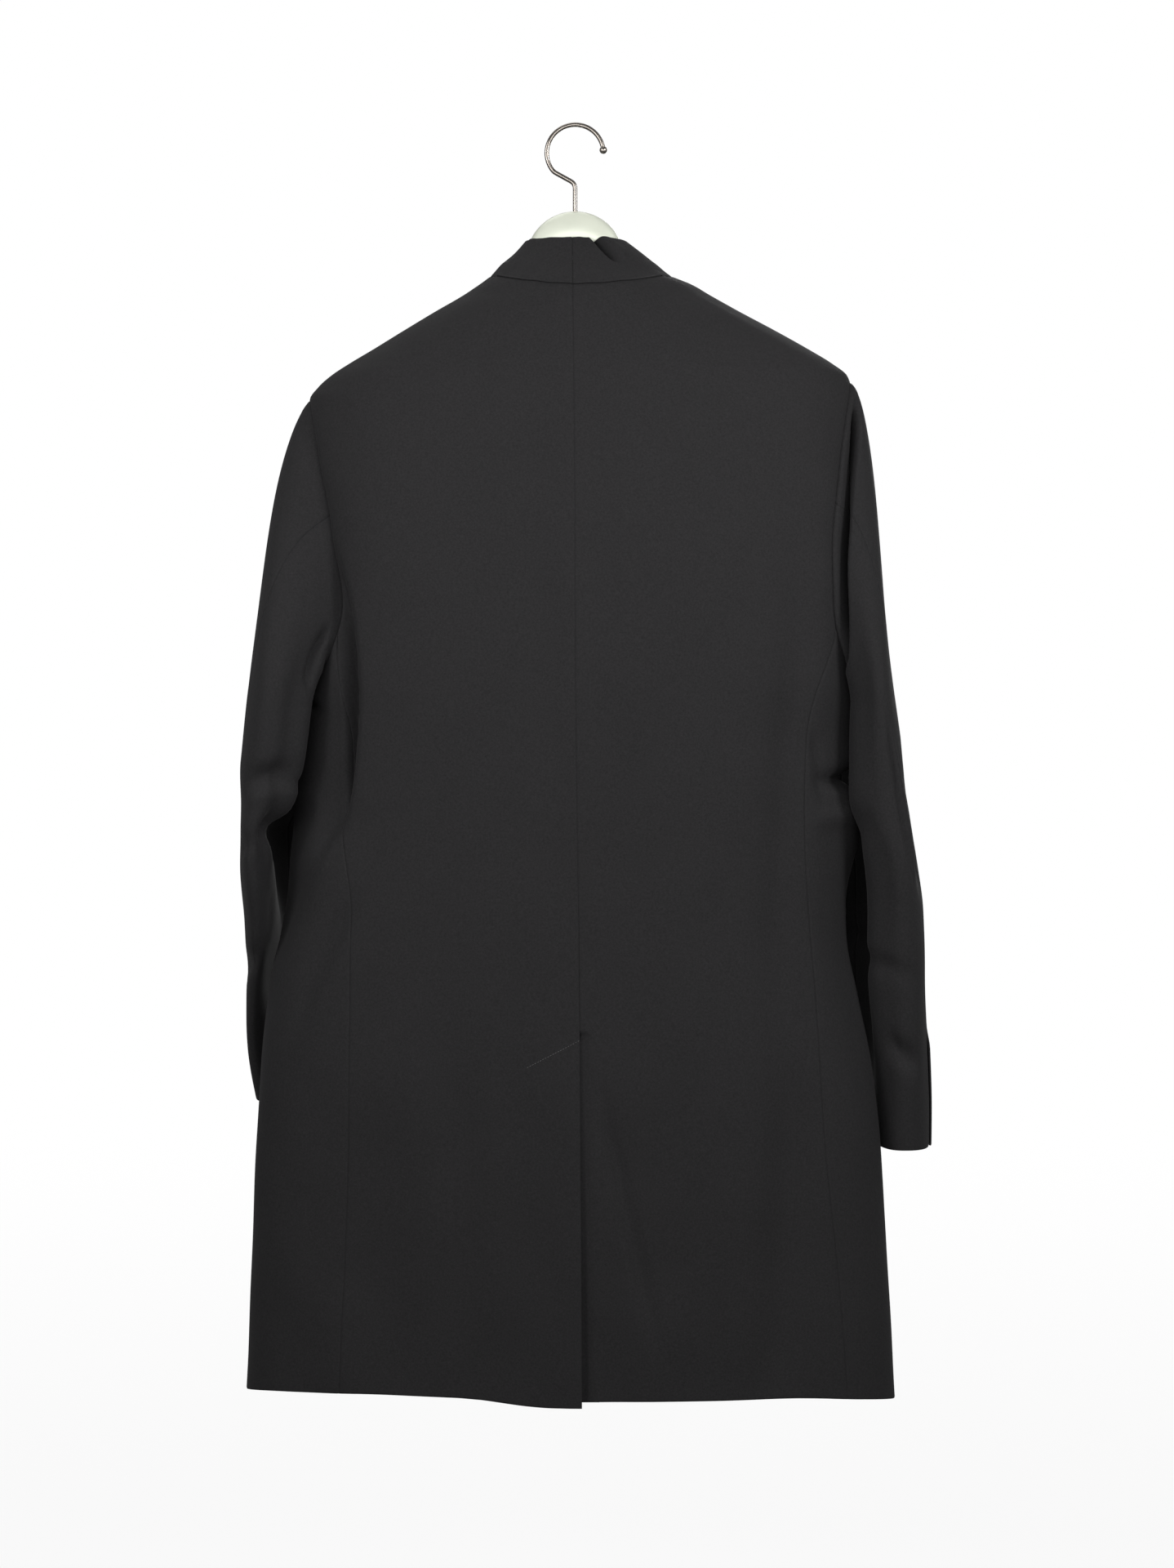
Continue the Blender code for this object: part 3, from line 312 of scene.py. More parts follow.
# Folds of the sleeves on the (turn, height) sheet, as above.
SLEEVE_FOLDS = table(
    FOLD_COLUMNS,
    [
        (LEFT, 105, -0.57, 190, -0.58, 0, 0.014, 0, -0.01),
        (LEFT, 50, -0.54, 150, -0.526, 0, 0.009, 0, -0.0065),
        (LEFT, 20, -0.69, 120, -0.68, 0, 0.01, 0, -0.004),
        (RIGHT, 20, -0.5, 40, -0.64, 0, 0.012, 0, -0.005),
        (RIGHT, 110, -0.56, 200, -0.6, 0, 0.014, 0, -0.006),
        (RIGHT, 60, -0.77, 130, -0.745, 0, 0.01, 0, -0.0045),
        (LEFT, 230, -0.6, 290, -0.56, 0, 0.014, 0, -0.006),
        (RIGHT, 230, -0.62, 290, -0.58, 0, 0.014, 0, -0.006),
        # finer ones, and the corner and the hollow along each sleeve's inner side
        (LEFT, 123, -0.404, 139, -0.468, -0.002, 0.0035, 0, -0.007),
        (LEFT, 92, -0.545, 178, -0.533, 0.002, 0.004, 0.2, -0.0025),
        (LEFT, 142, -0.4, 140, -0.63, 0, 0.013, 0, 0.011),
        (LEFT, 196, -0.42, 196, -0.68, 0, 0.018, 0, -0.009),
        (RIGHT, 143, -0.345, 140, -0.83, 0, 0.018, 0, 0.0095),
        (RIGHT, 188, -0.345, 188, -0.85, 0, 0.022, 0, -0.013),
        (LEFT, 60, -0.556, 130, -0.548, 0.004, 0.008, 0.2, 0.0008),
        (LEFT, 40, -0.6, 110, -0.588, 0.005, 0.007, 0.3, -0.0022),
        (LEFT, 58, -0.23, 66, -0.33, 0.002, 0.007, 0.2, -0.004),
        (LEFT, 240, -0.56, 310, -0.53, 0.006, 0.01, 0.3, -0.003),
        (LEFT, 220, -0.65, 300, -0.64, -0.006, 0.01, 0.3, -0.0028),
        (LEFT, 330, -0.35, 345, -0.52, 0.008, 0.014, 0.2, -0.0028),
        (RIGHT, 84, -0.47, 66, -0.63, -0.004, 0.0035, 0.2, -0.0035),
        (RIGHT, 74, -0.48, 56, -0.63, -0.004, 0.0045, 0, 0.0022),
        (RIGHT, 355, -0.62, 30, -0.7, 0.008, 0.008, 0.3, -0.003),
        (RIGHT, 240, -0.56, 320, -0.54, 0.006, 0.01, 0.3, -0.003),
        (RIGHT, 220, -0.68, 290, -0.66, -0.006, 0.01, 0.3, -0.0028),
        (RIGHT, 325, -0.34, 340, -0.52, 0.008, 0.014, 0.2, -0.0028),
    ],
)

# The right sleeve folds in on itself along the back of its armhole.
CREVICE_DEPTH = 0.0230
CREVICE_FROM_SEAM = 0.0150
CREVICE_HALF = 0.0060

# Each cloth piece's flat cut: width, length and area.
FLAT = {
    "back": (0.262, 0.945, 0.200),
    "side": (0.200, 0.640, 0.110),
    "front": (0.330, 0.980, 0.200),
    "top_sleeve": (0.195, 0.640, 0.092),
    "under_sleeve": (0.165, 0.540, 0.076),
}


def smooth(x, y, at):
    """A cubic curve through the points (x, y) that never overshoots them, read at `at`: each point's
    slope is the harmonic mean of the rises beside it, or level where they change sign."""
    order = np.argsort(x)
    x, y = x[order], y[order]
    step = np.diff(x)
    rise = np.diff(y) / step
    slope = np.concatenate([rise[:1], np.zeros(len(x) - 2), rise[-1:]])
    product = rise[:-1] * rise[1:]
    same_way = product > 0
    slope[1:-1][same_way] = 2 * product[same_way] / (rise[:-1] + rise[1:])[same_way]
    at = np.clip(at, x[0], x[-1])
    i = np.clip(np.searchsorted(x, at, side="right") - 1, 0, len(step) - 1)
    t = (at - x[i]) / step[i]
    start = (1 + 2 * t) * (1 - t) ** 2 * y[i] + t * (1 - t) ** 2 * step[i] * slope[i]
    end = t * t * (3 - 2 * t) * y[i + 1] + t * t * (t - 1) * step[i] * slope[i + 1]
    return start + end


def read(sizes, name, at, by="z"):
    """A column of a table, read smoothly at these heights."""
    return smooth(sizes[by], sizes[name], at)


def ease(low, high, value):
    """0 up to low, 1 from high on, and a smooth step 3t^2 - 2t^3 between; high may lie below low."""
    t = np.clip((value - low) / (high - low), 0, 1)
    return t * t * (3 - 2 * t)


def even(start, end, step):
    """Evenly spaced values from start to end, about a step apart."""
    return np.linspace(start, end, max(int(abs(end - start) / step) + 1, 3))


def unit(vectors):
    """The same directions with a length of 1."""
    return vectors / np.linalg.norm(vectors, axis=-1, keepdims=True).clip(1e-12)


def all_cells(grid):
    """A mark for every cell between a grid's rows and columns."""
    return np.ones((grid.shape[0] - 1, grid.shape[1] - 1), bool)


def spaced(first, last, count, length):
    """Values from first to last in each row, close together at both ends, and the distance in metres
    to the nearer end; length is that of a unit of the values."""
    width = np.abs(last - first)[:, None] * length
    far = EDGE_STEPS[-1]
    inside = np.linspace(0, 1, count + 2)[1:-1]
    near = EDGE_STEPS + 0 * width
    place = np.hstack([near, far + (width - 2 * far) * inside, (width - near)[:, ::-1]])
    values = first[:, None] + (last - first)[:, None] * place / width
    return values, np.minimum(place, width - place)


def fold_height(folds, side, across, z, length):
    """Sum of the folds at (across, z). Each is height * exp(-(gap / half)^2), where gap is the
    distance to its bowed path, and it fades over a third of its length at both ends."""
    height = np.zeros(np.broadcast(across, z).shape)
    for row in zip(*folds.values()):
        fold_side, from_across, from_z, to_across, to_z, bow, half, lean, tall = row
        if fold_side != side:
            continue
        start = np.array([from_across * length, from_z])
        run = np.array([to_across * length, to_z]) - start
        long = np.hypot(*run)
        away_across, away_z = across * length - start[0], z - start[1]
        along = (away_across * run[0] + away_z * run[1]) / long**2
        sideways = (away_z * run[0] - away_across * run[1]) / long
        inside = np.clip(along, 0, 1)
        sideways = sideways - bow * 4 * inside * (1 - inside)
        gap = np.hypot(sideways / (1 + lean * np.sign(sideways)), (along - inside) * long)
        fade = ease(0, 0.35, inside) * ease(1, 0.65, inside)
        height = height + tall * np.exp(-((gap / half) ** 2)) * fade
    return height


def edge_height(distance, lift=ALLOWANCE_LIFT):
    """The roll inwards at an edge, and the slight step where the allowance behind it ends."""
    roll = -EDGE_FALL * np.exp(-((distance / EDGE_ROLL) ** 2))
    return roll + lift * ease(ALLOWANCE + 0.0012, ALLOWANCE, distance)


def row_edges(rows, top_lift):
    """The rolls along the top and the bottom row, with the allowance behind the top one."""
    top = edge_height((rows[0] - rows)[:, None], top_lift)
    return top + edge_height((rows - rows[-1])[:, None], 0.0)


# The body


def depth(z, front):
    """Depth and boxiness of the body before or behind its side at each height."""
    before = [read(TORSO, name, z) for name in ("front", "boxy_front")]
    behind = [read(TORSO, name, z) for name in ("back", "boxy_back")]
    return [np.where(front, one, other) for one, other in zip(before, behind)]


def quarter(side, z, front):
    """Points of one quarter of the girth from the centre line to the side, on the curve
    (x / wide)^boxy + (y / deep)^boxy = 1, and the share of its length at each."""
    wide = read(TORSO, SIDE_NAMES[side], z)[..., None]
    deep, boxy = (sizes[..., None] for sizes in depth(z, front))
    power = 2 / boxy
    angle = np.linspace(0, math.pi / 2, GIRTH_STEPS)
    x = wide * np.sin(angle) ** power
    y = np.where(front, 1, -1)[..., None] * deep * np.cos(angle).clip(0) ** power
    length = np.hypot(np.diff(x), np.diff(y)).cumsum(-1)
    length = np.concatenate([np.zeros_like(length[..., :1]), length], -1)
    return x, y, length / length[..., -1:]


def entries(values, i):
    """Entry i of each row of values, and the one after it."""
    return [np.take_along_axis(values, at[..., None], -1)[..., 0] for at in (i, i + 1)]


def read_between(values, place):
    """Each row of values read at a place between two of its entries."""
    i = np.clip(place.astype(int), 0, values.shape[-1] - 2)
    low, high = entries(values, i)
    return low + (high - low) * (place - i)


def body_base(side, girth, z):
    """The body without folds: girth is 0 at the centre back, 1 at the side, 2 at the centre front.
    Past either centre it carries on over the other half."""
    girth, z = np.broadcast_arrays(girth, z)
    front = girth > 1
    x, y, share = quarter(side, z, front)
    wanted = np.where(front, 2 - girth, girth)
    i = np.clip((share < np.abs(wanted)[..., None]).sum(-1) - 1, 0, GIRTH_STEPS - 2)
    low, high = entries(share, i)
    place = i + (np.abs(wanted) - low) / (high - low)
    across = read_between(x, place) * np.where(wanted < 0, -1, 1)
    return np.stack([side * across, read_between(y, place), z], -1)


def girth_at_x(side, z, x, front):
    """Where the back or the front of the body has this distance from the middle."""
    z, x = np.broadcast_arrays(z, x)
    wide = read(TORSO, SIDE_NAMES[side], z)
    angle = np.arcsin(np.clip(np.abs(x) / wide, 0, 1) ** (depth(z, front)[1] / 2))
    share = quarter(side, z, np.full(z.shape, front))[2]
    share = read_between(share, angle / (math.pi / 2) * (GIRTH_STEPS - 1)) * np.sign(x)
    return 2 - share if front else share


def girth_at_y(side, z, y):
    """Where the body has this depth: behind the side if y is negative, else before it."""
    front = y > 0
    deep, boxy = depth(z, front)
    angle = np.arccos(np.clip(np.abs(y) / deep, 0, 1) ** (boxy / 2))
    share = read_between(quarter(side, z, front)[2], angle / (math.pi / 2) * (GIRTH_STEPS - 1))
    return np.where(front, 2 - share, share)


def normals(surface, across, down, step, facing):
    """The outward direction of a surface, from its slopes over a step each way."""
    over = surface(across + step[0], down) - surface(across - step[0], down)
    up = surface(across, down + step[1]) - surface(across, down - step[1])
    return unit(facing * np.cross(over, up))


def body_normals(side, girth, z):
    """The outward direction of the body without folds."""
    return normals(lambda a, d: body_base(side, a, d), girth, z, BODY_STEP, side)


def body_folds(side, girth, z):
    """Sum of the body's folds."""
    return fold_height(BODY_FOLDS, side, girth, z, BODY_CLOTH_LENGTH)


def body_waves(side, girth, z):
    """The slight unevenness of hanging cloth: a few long sine waves that cross each other."""
    across = girth * BODY_CLOTH_LENGTH * side
    wave = 0.0005 * np.sin(across * 52 + 3 * np.sin(z * 7)) * ease(-0.20, -0.50, z)
    wave = wave + 0.0003 * np.sin(across * 95 + z * 11 + 2 * np.sin(across * 23))
    return wave + 0.0002 * np.sin(z * 60 + 4 * np.sin(across * 31))


def body_place(side, girth, z, more=0.0):
    """Points on the body with its folds and any further height."""
    girth, z = np.broadcast_arrays(girth, z)
    height = body_folds(side, girth, z) + body_waves(side, girth, z) + more
    return body_base(side, girth, z) + body_normals(side, girth, z) * height[..., None]


def centre_back(side, z):
    """Girth of the centre back seam, seen from this side's half."""
    return girth_at_x(side, z, side * read(CENTRE_SEAM, "x", z), False)


def armhole(side, turn):
    """Girth and height of the armhole at a turn in degrees, from the shoulder tip round by the back:
    z = middle + half * cos(turn), and the depth is reach * |sin(turn)|^0.65 * (1 - 0.45 cos(turn))."""
    top, bottom, back, front = ARMHOLE[side]
    turn = np.radians(np.asarray(turn, float))
    z = (top + bottom) / 2 + (top - bottom) / 2 * np.cos(turn)
    reach = np.where(np.mod(turn, math.tau) < math.pi, -back, front)
    round_edge = np.abs(np.sin(turn)) ** 0.65 * (1 - 0.45 * np.cos(turn))
    return girth_at_y(side, z, reach * round_edge), z


def rows_of(side):
    """Heights of the rows that all of one side's body pieces share, from the neck seam down, with
    the numbers of the rows at the shoulder tip and where the side panel starts."""
    turns = np.concatenate([[0, 2, 5], even(9, JOINT_TURN, ARMHOLE_ROW)])
    z = armhole(side, turns)[1]
    shoulder = even(NECK_POINT_Z - EDGE_STEPS[-1], z[0], SHOULDER_ROW)[:-1]
    shoulder = np.concatenate([NECK_POINT_Z - EDGE_STEPS[:-1], shoulder])
    below = z[-1] - EDGE_STEPS[1:]
    upper = even(below[-1], VENT_TOP_Z + VENT_START, ROW)[1:]
    vent = even(VENT_TOP_Z + VENT_START, VENT_TOP_Z, VENT_ROW)[1:]
    lower = even(VENT_TOP_Z, HEM_Z + EDGE_STEPS[-1], ROW)[1:]
    hem_rows = (HEM_Z + EDGE_STEPS[:-1])[::-1]
    rows = np.concatenate([shoulder, z, below, upper, vent, lower, hem_rows])
    return rows, turns, len(shoulder), len(shoulder) + len(z) - 1


def side_seam(side, z, front):
    """Girth of the seam from the armhole down, between the side panel and the back or the front."""
    start_girth, start_z = armhole(side, [360 - JOINT_TURN if front else JOINT_TURN])

    def plain(at):
        if front:
            return np.full_like(at, FRONT_SEAM)
        return girth_at_x(side, at, read(BACK_SEAM, SIDE_NAMES[side], at), False)

    shift = start_girth[0] - plain(start_z)[0]
    return plain(z) + shift * ease(start_z[0] - 0.09, start_z[0], z)


def outer_edge(side, rows, turns, tip, joint, front):
    """Girth of a back's or front's outer edge at each row: shoulder seam, armhole, then side seam."""
    edge = np.ones(len(rows))
    edge[tip : joint + 1] = armhole(side, 360 - turns if front else turns)[0]
    edge[tip] = 1
    edge[joint:] = side_seam(side, rows[joint:], front)
    return edge


def hem(side, girth, z):
    """Heights moved so that the lowest rows follow the hem round the body."""
    drop = HEM_Z - read(HEM, SIDE_NAMES[side], girth, "girth")
    return z - drop * ease(-0.75, HEM_Z, z)


def neckline(side, z):
    """Girth of the front edge: from the side of the neck to the break, then straight down."""
    share = np.clip((STAND_TOP_Z - z) / (STAND_TOP_Z - BREAK_Z), 0, 1)
    x = NECK_EDGE_X - (NECK_EDGE_X + FRONT_WRAP) * share
    return np.maximum(girth_at_x(side, z, x, True), 1)


def vent_height(side, from_seam, girth, centre, z):
    """The left back lies over the right one below the vent's top."""
    open_part = ease(VENT_TOP_Z, HEM_Z, z)
    if side == LEFT:
        return VENT_SPREAD * ease(0.035, 0.0, from_seam) * open_part
    under = np.where(girth < centre, 0.0, from_seam)
    deep = CLOTH + LAYER_GAP + VENT_SINK * open_part
    return -deep * ease(0.010, 0.001, under) * ease(VENT_TOP_Z + 0.005, VENT_TOP_Z, z)


def back_piece(side):
    """Half of the back: rows from the neck and shoulder seams to the hem, columns from the centre.
    The right half goes on past the centre below the vent's top, under the left half."""
    rows, turns, tip, joint = rows_of(side)
    outer = outer_edge(side, rows, turns, tip, joint, False)
    seam_drop = NECK_SEAM_CENTRE_Z - NECK_POINT_Z
    centre = centre_back(side, rows + seam_drop * ease(LEVEL_Z, NECK_POINT_Z, rows))
    girth, beside = spaced(centre, outer, BACK_COLUMNS, BODY_CLOTH_LENGTH)
    z = np.repeat(rows[:, None], girth.shape[1], 1)
    z = z + seam_drop * (1 - ease(0, 1, girth)) * ease(LEVEL_Z, NECK_POINT_Z, z)
    cells = all_cells(z)
    if side == RIGHT:
        share = np.linspace(1, 0, UNDERLAP_COLUMNS + 1)[:-1]
        extra = girth[:, :1] - share * UNDERLAP / BODY_CLOTH_LENGTH
        extra_z = z[:, :1] - share * UNDERLAP_SLANT * ease(-0.80, VENT_TOP_Z, z[:, :1])
        open_rows = (z[1:, :1] < VENT_TOP_Z - 0.0005) & np.ones(len(share), bool)
        girth, z = np.hstack([extra, girth]), np.hstack([extra_z, z])
        cells = np.hstack([open_rows, cells])
        beside = np.hstack([np.full(extra.shape, NO_EDGE), beside])
        beside = np.where((rows[:, None] < VENT_TOP_Z) & (girth < 0.3), NO_EDGE, beside)
    from_seam = np.abs(girth - centre[:, None]) * BODY_CLOTH_LENGTH
    height = vent_height(side, from_seam, girth, centre[:, None], z)
    height = height + edge_height(beside) + row_edges(rows, ALLOWANCE_LIFT)
    z = hem(side, girth, z)
    return cloth_wall("back_" + SIDE_NAMES[side], side, girth, z, height, cells)


def side_piece(side):
    """The panel under the arm: its top is the bottom of the armhole."""
    rows, _, _, joint = rows_of(side)
    rows = rows[joint:]
    back, front = side_seam(side, rows, False), side_seam(side, rows, True)
    start, end = armhole(side, [JOINT_TURN, 360 - JOINT_TURN])[0]
    girth, beside = spaced(back, front, SIDE_COLUMNS, BODY_CLOTH_LENGTH)
    arc_turn = np.linspace(JOINT_TURN, 360 - JOINT_TURN, 241)
    arc_girth, arc_z = armhole(side, arc_turn)
    share = (girth - back[:, None]) / (front - back)[:, None]
    dip = np.interp(start + share * (end - start), arc_girth, arc_z) - arc_z[0]
    z = rows[:, None] + dip * ease(rows[0] - 0.08, rows[0], rows)[:, None]
    height = edge_height(beside) + row_edges(rows, ALLOWANCE_LIFT)
    z = hem(side, girth, z)
    return cloth_wall("side_" + SIDE_NAMES[side], side, girth, z, height, all_cells(z))


def front_height(side, girth, z):
    """The left front lies over the right one below the point of the neckline."""
    if side == LEFT:
        return 0.0 * girth
    from_centre = (2 - girth) * BODY_CLOTH_LENGTH
    return -(CLOTH + LAYER_GAP) * ease(0.050, 0.024, from_centre) * ease(-0.305, -0.345, z)


def neck_seam(girth, lap=0.0):
    """Height of the neck seam, which rises from the centre back to the shoulder."""
    return NECK_SEAM_CENTRE_Z - lap + (NECK_POINT_Z - NECK_SEAM_CENTRE_Z) * ease(0, 1, girth)


def front_piece(side):
    """The front with its grown-on neck stand, which runs on round the neck to the centre back."""
    rows, turns, tip, joint = rows_of(side)
    stand = even(STAND_TOP_Z - EDGE_STEPS[-1], NECK_POINT_Z, STAND_ROW)
    stand = np.concatenate([STAND_TOP_Z - EDGE_STEPS[:-1], stand])
    added = len(stand) - 1
    rows = np.concatenate([stand[:-1], rows])
    outer = np.concatenate([np.ones(added), outer_edge(side, rows[added:], turns, tip, joint, True)])
    edge = np.maximum(neckline(side, rows), 1.10)
    girth, beside = spaced(outer, edge, FRONT_COLUMNS, BODY_CLOTH_LENGTH)
    beside[:added, : girth.shape[1] // 2] = NO_EDGE
    z = np.repeat(rows[:, None], girth.shape[1], 1)

    lift = (rows - NECK_POINT_Z) / (STAND_TOP_Z - NECK_POINT_Z)
    centre_z = NECK_SEAM_CENTRE_Z + (STAND_TOP_Z - NECK_SEAM_CENTRE_Z) * lift
    centre = centre_back(side, np.where(lift >= 0, centre_z, rows))
    neck_girth, neck_beside = spaced(centre, outer, STAND_COLUMNS, BODY_CLOTH_LENGTH)
    neck_girth, neck_beside = neck_girth[:, :-1], neck_beside[:, :-1]
    neck_beside = np.where(neck_girth > 0.5, NO_EDGE, neck_beside)
    lift, seam = lift[:, None], neck_seam(neck_girth, NECK_LAP)
    neck_z = np.where(lift >= 0, seam + (STAND_TOP_Z - seam) * lift, rows[:, None])
    z = np.hstack([neck_z, hem(side, girth, z)])
    girth, beside = np.hstack([neck_girth, girth]), np.hstack([neck_beside, beside])
    cells = all_cells(z)
    cells[added:, : neck_girth.shape[1]] = False

    to_seam = np.where((girth < 1) & (z > -0.15), np.abs(z - neck_seam(girth)), NO_EDGE)
    height = front_height(side, girth, z) + edge_height(beside) + edge_height(to_seam)
    height = height + row_edges(rows, 0.0)
    height = height + fold_height(STAND_FOLDS, side, girth, z, STAND_CLOTH_LENGTH)
    return cloth_wall("front_" + SIDE_NAMES[side], side, girth, z, height, cells)


def cloth_wall(name, side, girth, z, height, cells):
    """A body piece: its points, its weave's own sheet (metres across, metres up) and its wall."""
    points = body_place(side, girth, z, height)
    weave = np.stack([girth * BODY_CLOTH_LENGTH * side, z], -1)
    return wall(name, points, weave, cells, side)


# The sleeves


def swollen(share):
    """A sine or cosine pushed outwards, which makes an oval of it boxier."""
    return np.sign(share) * np.abs(share) ** (2 / SLEEVE_BOXY)


def sleeve_section(side, turn, z):
    """A level oval of the sleeve: turn is 0 on the outer side and 90 degrees at the back."""
    sizes = {name: read(SLEEVE[side], name, z) for name in SLEEVE[side]}
    yaw = np.radians(sizes["turn"])
    outwards = np.stack([side * np.cos(yaw), np.sin(yaw)], -1)
    forwards = np.stack([-side * np.sin(yaw), np.cos(yaw)], -1)
    across, back = (swollen(part(np.radians(turn))) for part in (np.cos, np.sin))
    across = sizes["wide"] * across - sizes["bend"] * np.clip(-back, 0, 1) ** 4
    reach = across[..., None] * outwards - (sizes["deep"] * back)[..., None] * forwards
    middle = np.stack([side * sizes["x"], sizes["y"]], -1)
    return np.concatenate([middle + reach, (z + sizes["tilt"] * reach[..., 1])[..., None]], -1)


def armhole_ring(side):
    """The armhole's points on the body, one for each degree of turn."""
    turn = np.arange(361)
    girth, z = armhole(side, turn)
    girth[[0, -1]] = 1
    return body_place(side, girth, z)


RINGS = {side: armhole_ring(side) for side in (LEFT, RIGHT)}


def armhole_points(side, turn):
    """The armhole as a closed curve on the body, read at any turn."""
    place = np.mod(turn, 360)
    return np.stack([np.interp(place, np.arange(361), RINGS[side][:, axis]) for axis in range(3)], -1)


def sleeve_base(side, turn, way):
    """The sleeve without folds: way is 0 at the armhole, 1 under the arm and 2 at the cuff. Its cap
    is a cubic between the armhole and the section under the arm, with a slope set at both ends."""
    turn, way = np.broadcast_arrays(turn, way)
    top, cuff = SLEEVE[side]["z"][[0, -1]]
    angle = np.radians(turn)
    start = armhole_points(side, turn)
    end = sleeve_section(side, turn, np.full(turn.shape, top))
    out, back, down, fullness = CAP[side]
    down = down * (0.2 + 0.8 * np.cos(angle / 2) ** 2)
    leave = np.stack([np.full(turn.shape, side * out), -back * np.sin(angle), -down], -1)
    leave = unit(leave)
    start = start - leave * ARMHOLE_LAP
    span = np.linalg.norm(end - start, axis=-1, keepdims=True)
    below = sleeve_section(side, turn, np.full(turn.shape, top - 0.01))
    fall = unit(below - end)
    t = np.clip(way, -0.1, 1)[..., None]
    cap = (1 + 2 * t) * (1 - t) ** 2 * start + t * (1 - t) ** 2 * span * fullness * leave
    cap = cap + t * t * (3 - 2 * t) * end + t * t * (t - 1) * span * fall
    arm = sleeve_section(side, turn, top + (cuff - top) * np.clip(way - 1, 0, 1.1))
    return np.where(t < 1, cap, arm)


def sleeve_place(side, turn, way, more):
    """Points on the sleeve with its folds and any further height."""
    place = sleeve_base(side, turn, way)
    z = place[..., 2]
    around = np.mod(turn, 360)
    height = fold_height(SLEEVE_FOLDS, side, around, z, SLEEVE_CLOTH_LENGTH)
    height = height * ease(0.1, 0.4, way)
    height = height + 0.0004 * np.sin(np.radians(turn) * 5 + z * 40) * ease(0.1, 0.4, way)
    from_seam = np.linalg.norm(place - armhole_points(side, turn), axis=-1)
    if side == RIGHT:
        groove = np.exp(-(((from_seam - CREVICE_FROM_SEAM) / CREVICE_HALF) ** 2))
        groove = groove * (way < 0.5)
        height = height - CREVICE_DEPTH * groove * ease(14, 40, turn) * ease(164, 136, turn)
    height = height + np.where(way < 0.5, edge_height(from_seam), 0.0) + more
    outward = normals(lambda a, d: sleeve_base(side, a, d), turn, way, SLEEVE_STEP, -side)
    return place + outward * height[..., None]


def sleeve_ways(side):
    """Rows down a sleeve, closer together by the armhole and the cuff."""
    top, cuff = SLEEVE[side]["z"][[0, -1]]
    tall = top - cuff
    edge = EDGE_STEPS * 8
    cap = np.concatenate([edge, even(edge[-1], 1, 0.016)[1:]])
    arm = even(1, 2 - EDGE_STEPS[-1] / tall, ROW / tall)[1:]
    return np.concatenate([cap, arm, 2 - EDGE_STEPS[-2::-1] / tall])


def seam_turns(way):
    """Turn of the elbow seam and of the forearm seam at each row."""
    elbow = ELBOW_TURN - 55 * ease(0, 1.35, way)
    forearm = FOREARM_TURN - 20 * ease(0, 1.2, way)
    return elbow, forearm


def sleeve_piece(side, name, first, last, count):
    """One of a sleeve's two pieces, between two seams given as turns at each row."""
    way = sleeve_ways(side)
    top, cuff = SLEEVE[side]["z"][[0, -1]]
    turn, beside = spaced(first, last, count, DEGREE)
    way = np.repeat(way[:, None], turn.shape[1], 1)
    to_cuff = (2 - way) * (top - cuff)
    height = edge_height(beside) + edge_height(to_cuff, 0.0)
    if name == "top_sleeve_":
        to_elbow = (last[:, None] - turn) * DEGREE
        over_slit = ease(0.030, 0.002, to_elbow) * ease(CUFF_VENT, CUFF_VENT - 0.02, to_cuff)
        height = height + CUFF_LAP * over_slit
    points = sleeve_place(side, turn, way, height)
    weave = np.stack([turn * SLEEVE_CLOTH_LENGTH, -way * WAY_LENGTH], -1)
    return wall(name + SIDE_NAMES[side], points, weave, all_cells(way), -side)


def sleeve_pieces(side):
    """The top sleeve over the arm and the under sleeve beneath it."""
    elbow, forearm = seam_turns(sleeve_ways(side))
    top = sleeve_piece(side, "top_sleeve_", forearm - 360, elbow, TOP_SLEEVE_COLUMNS)
    under = sleeve_piece(side, "under_sleeve_", elbow, forearm, UNDER_SLEEVE_COLUMNS)
    return top, under


# Meshes


def placed(name, data):
    """A new object in the scene for a mesh, a light or the camera."""
    made = bpy.data.objects.new(name, data)
    bpy.context.scene.collection.objects.link(made)
    return made


def make_mesh(name, points, faces, finish, sheet):
    """An object of quads from whole arrays, with its own flat sheet for the weave."""
    mesh = bpy.data.meshes.new(name)
    mesh.vertices.add(len(points))
    mesh.vertices.foreach_set("co", points.astype(np.float32).ravel())
    mesh.loops.add(faces.size)
    mesh.loops.foreach_set("vertex_index", faces.astype(np.int32).ravel())
    mesh.polygons.add(len(faces))
    mesh.polygons.foreach_set("loop_start", np.arange(len(faces), dtype=np.int32) * faces.shape[1])
    uv = mesh.uv_layers.new(name="weave")
    uv.data.foreach_set("uv", sheet[faces].astype(np.float32).ravel())
    mesh.materials.append(finish)
    mesh.update(calc_edges=True)
    mesh.shade_smooth()
    return placed(name, mesh)


def rim_of(number, cells):
    """Pairs of corners along every edge of the kept cells, in the order of their faces' corners."""
    padded = np.pad(cells, 1)
    a, b = number[:-1, :-1], number[1:, :-1]
    c, d = number[1:, 1:], number[:-1, 1:]
    left, right = cells & ~padded[1:-1, :-2], cells & ~padded[1:-1, 2:]
    above, below = cells & ~padded[:-2, 1:-1], cells & ~padded[2:, 1:-1]
    sides = [(a, b, left), (b, c, below), (c, d, right), (d, a, above)]
    return np.concatenate([np.stack([one[kept], other[kept]], -1) for one, other, kept in sides])


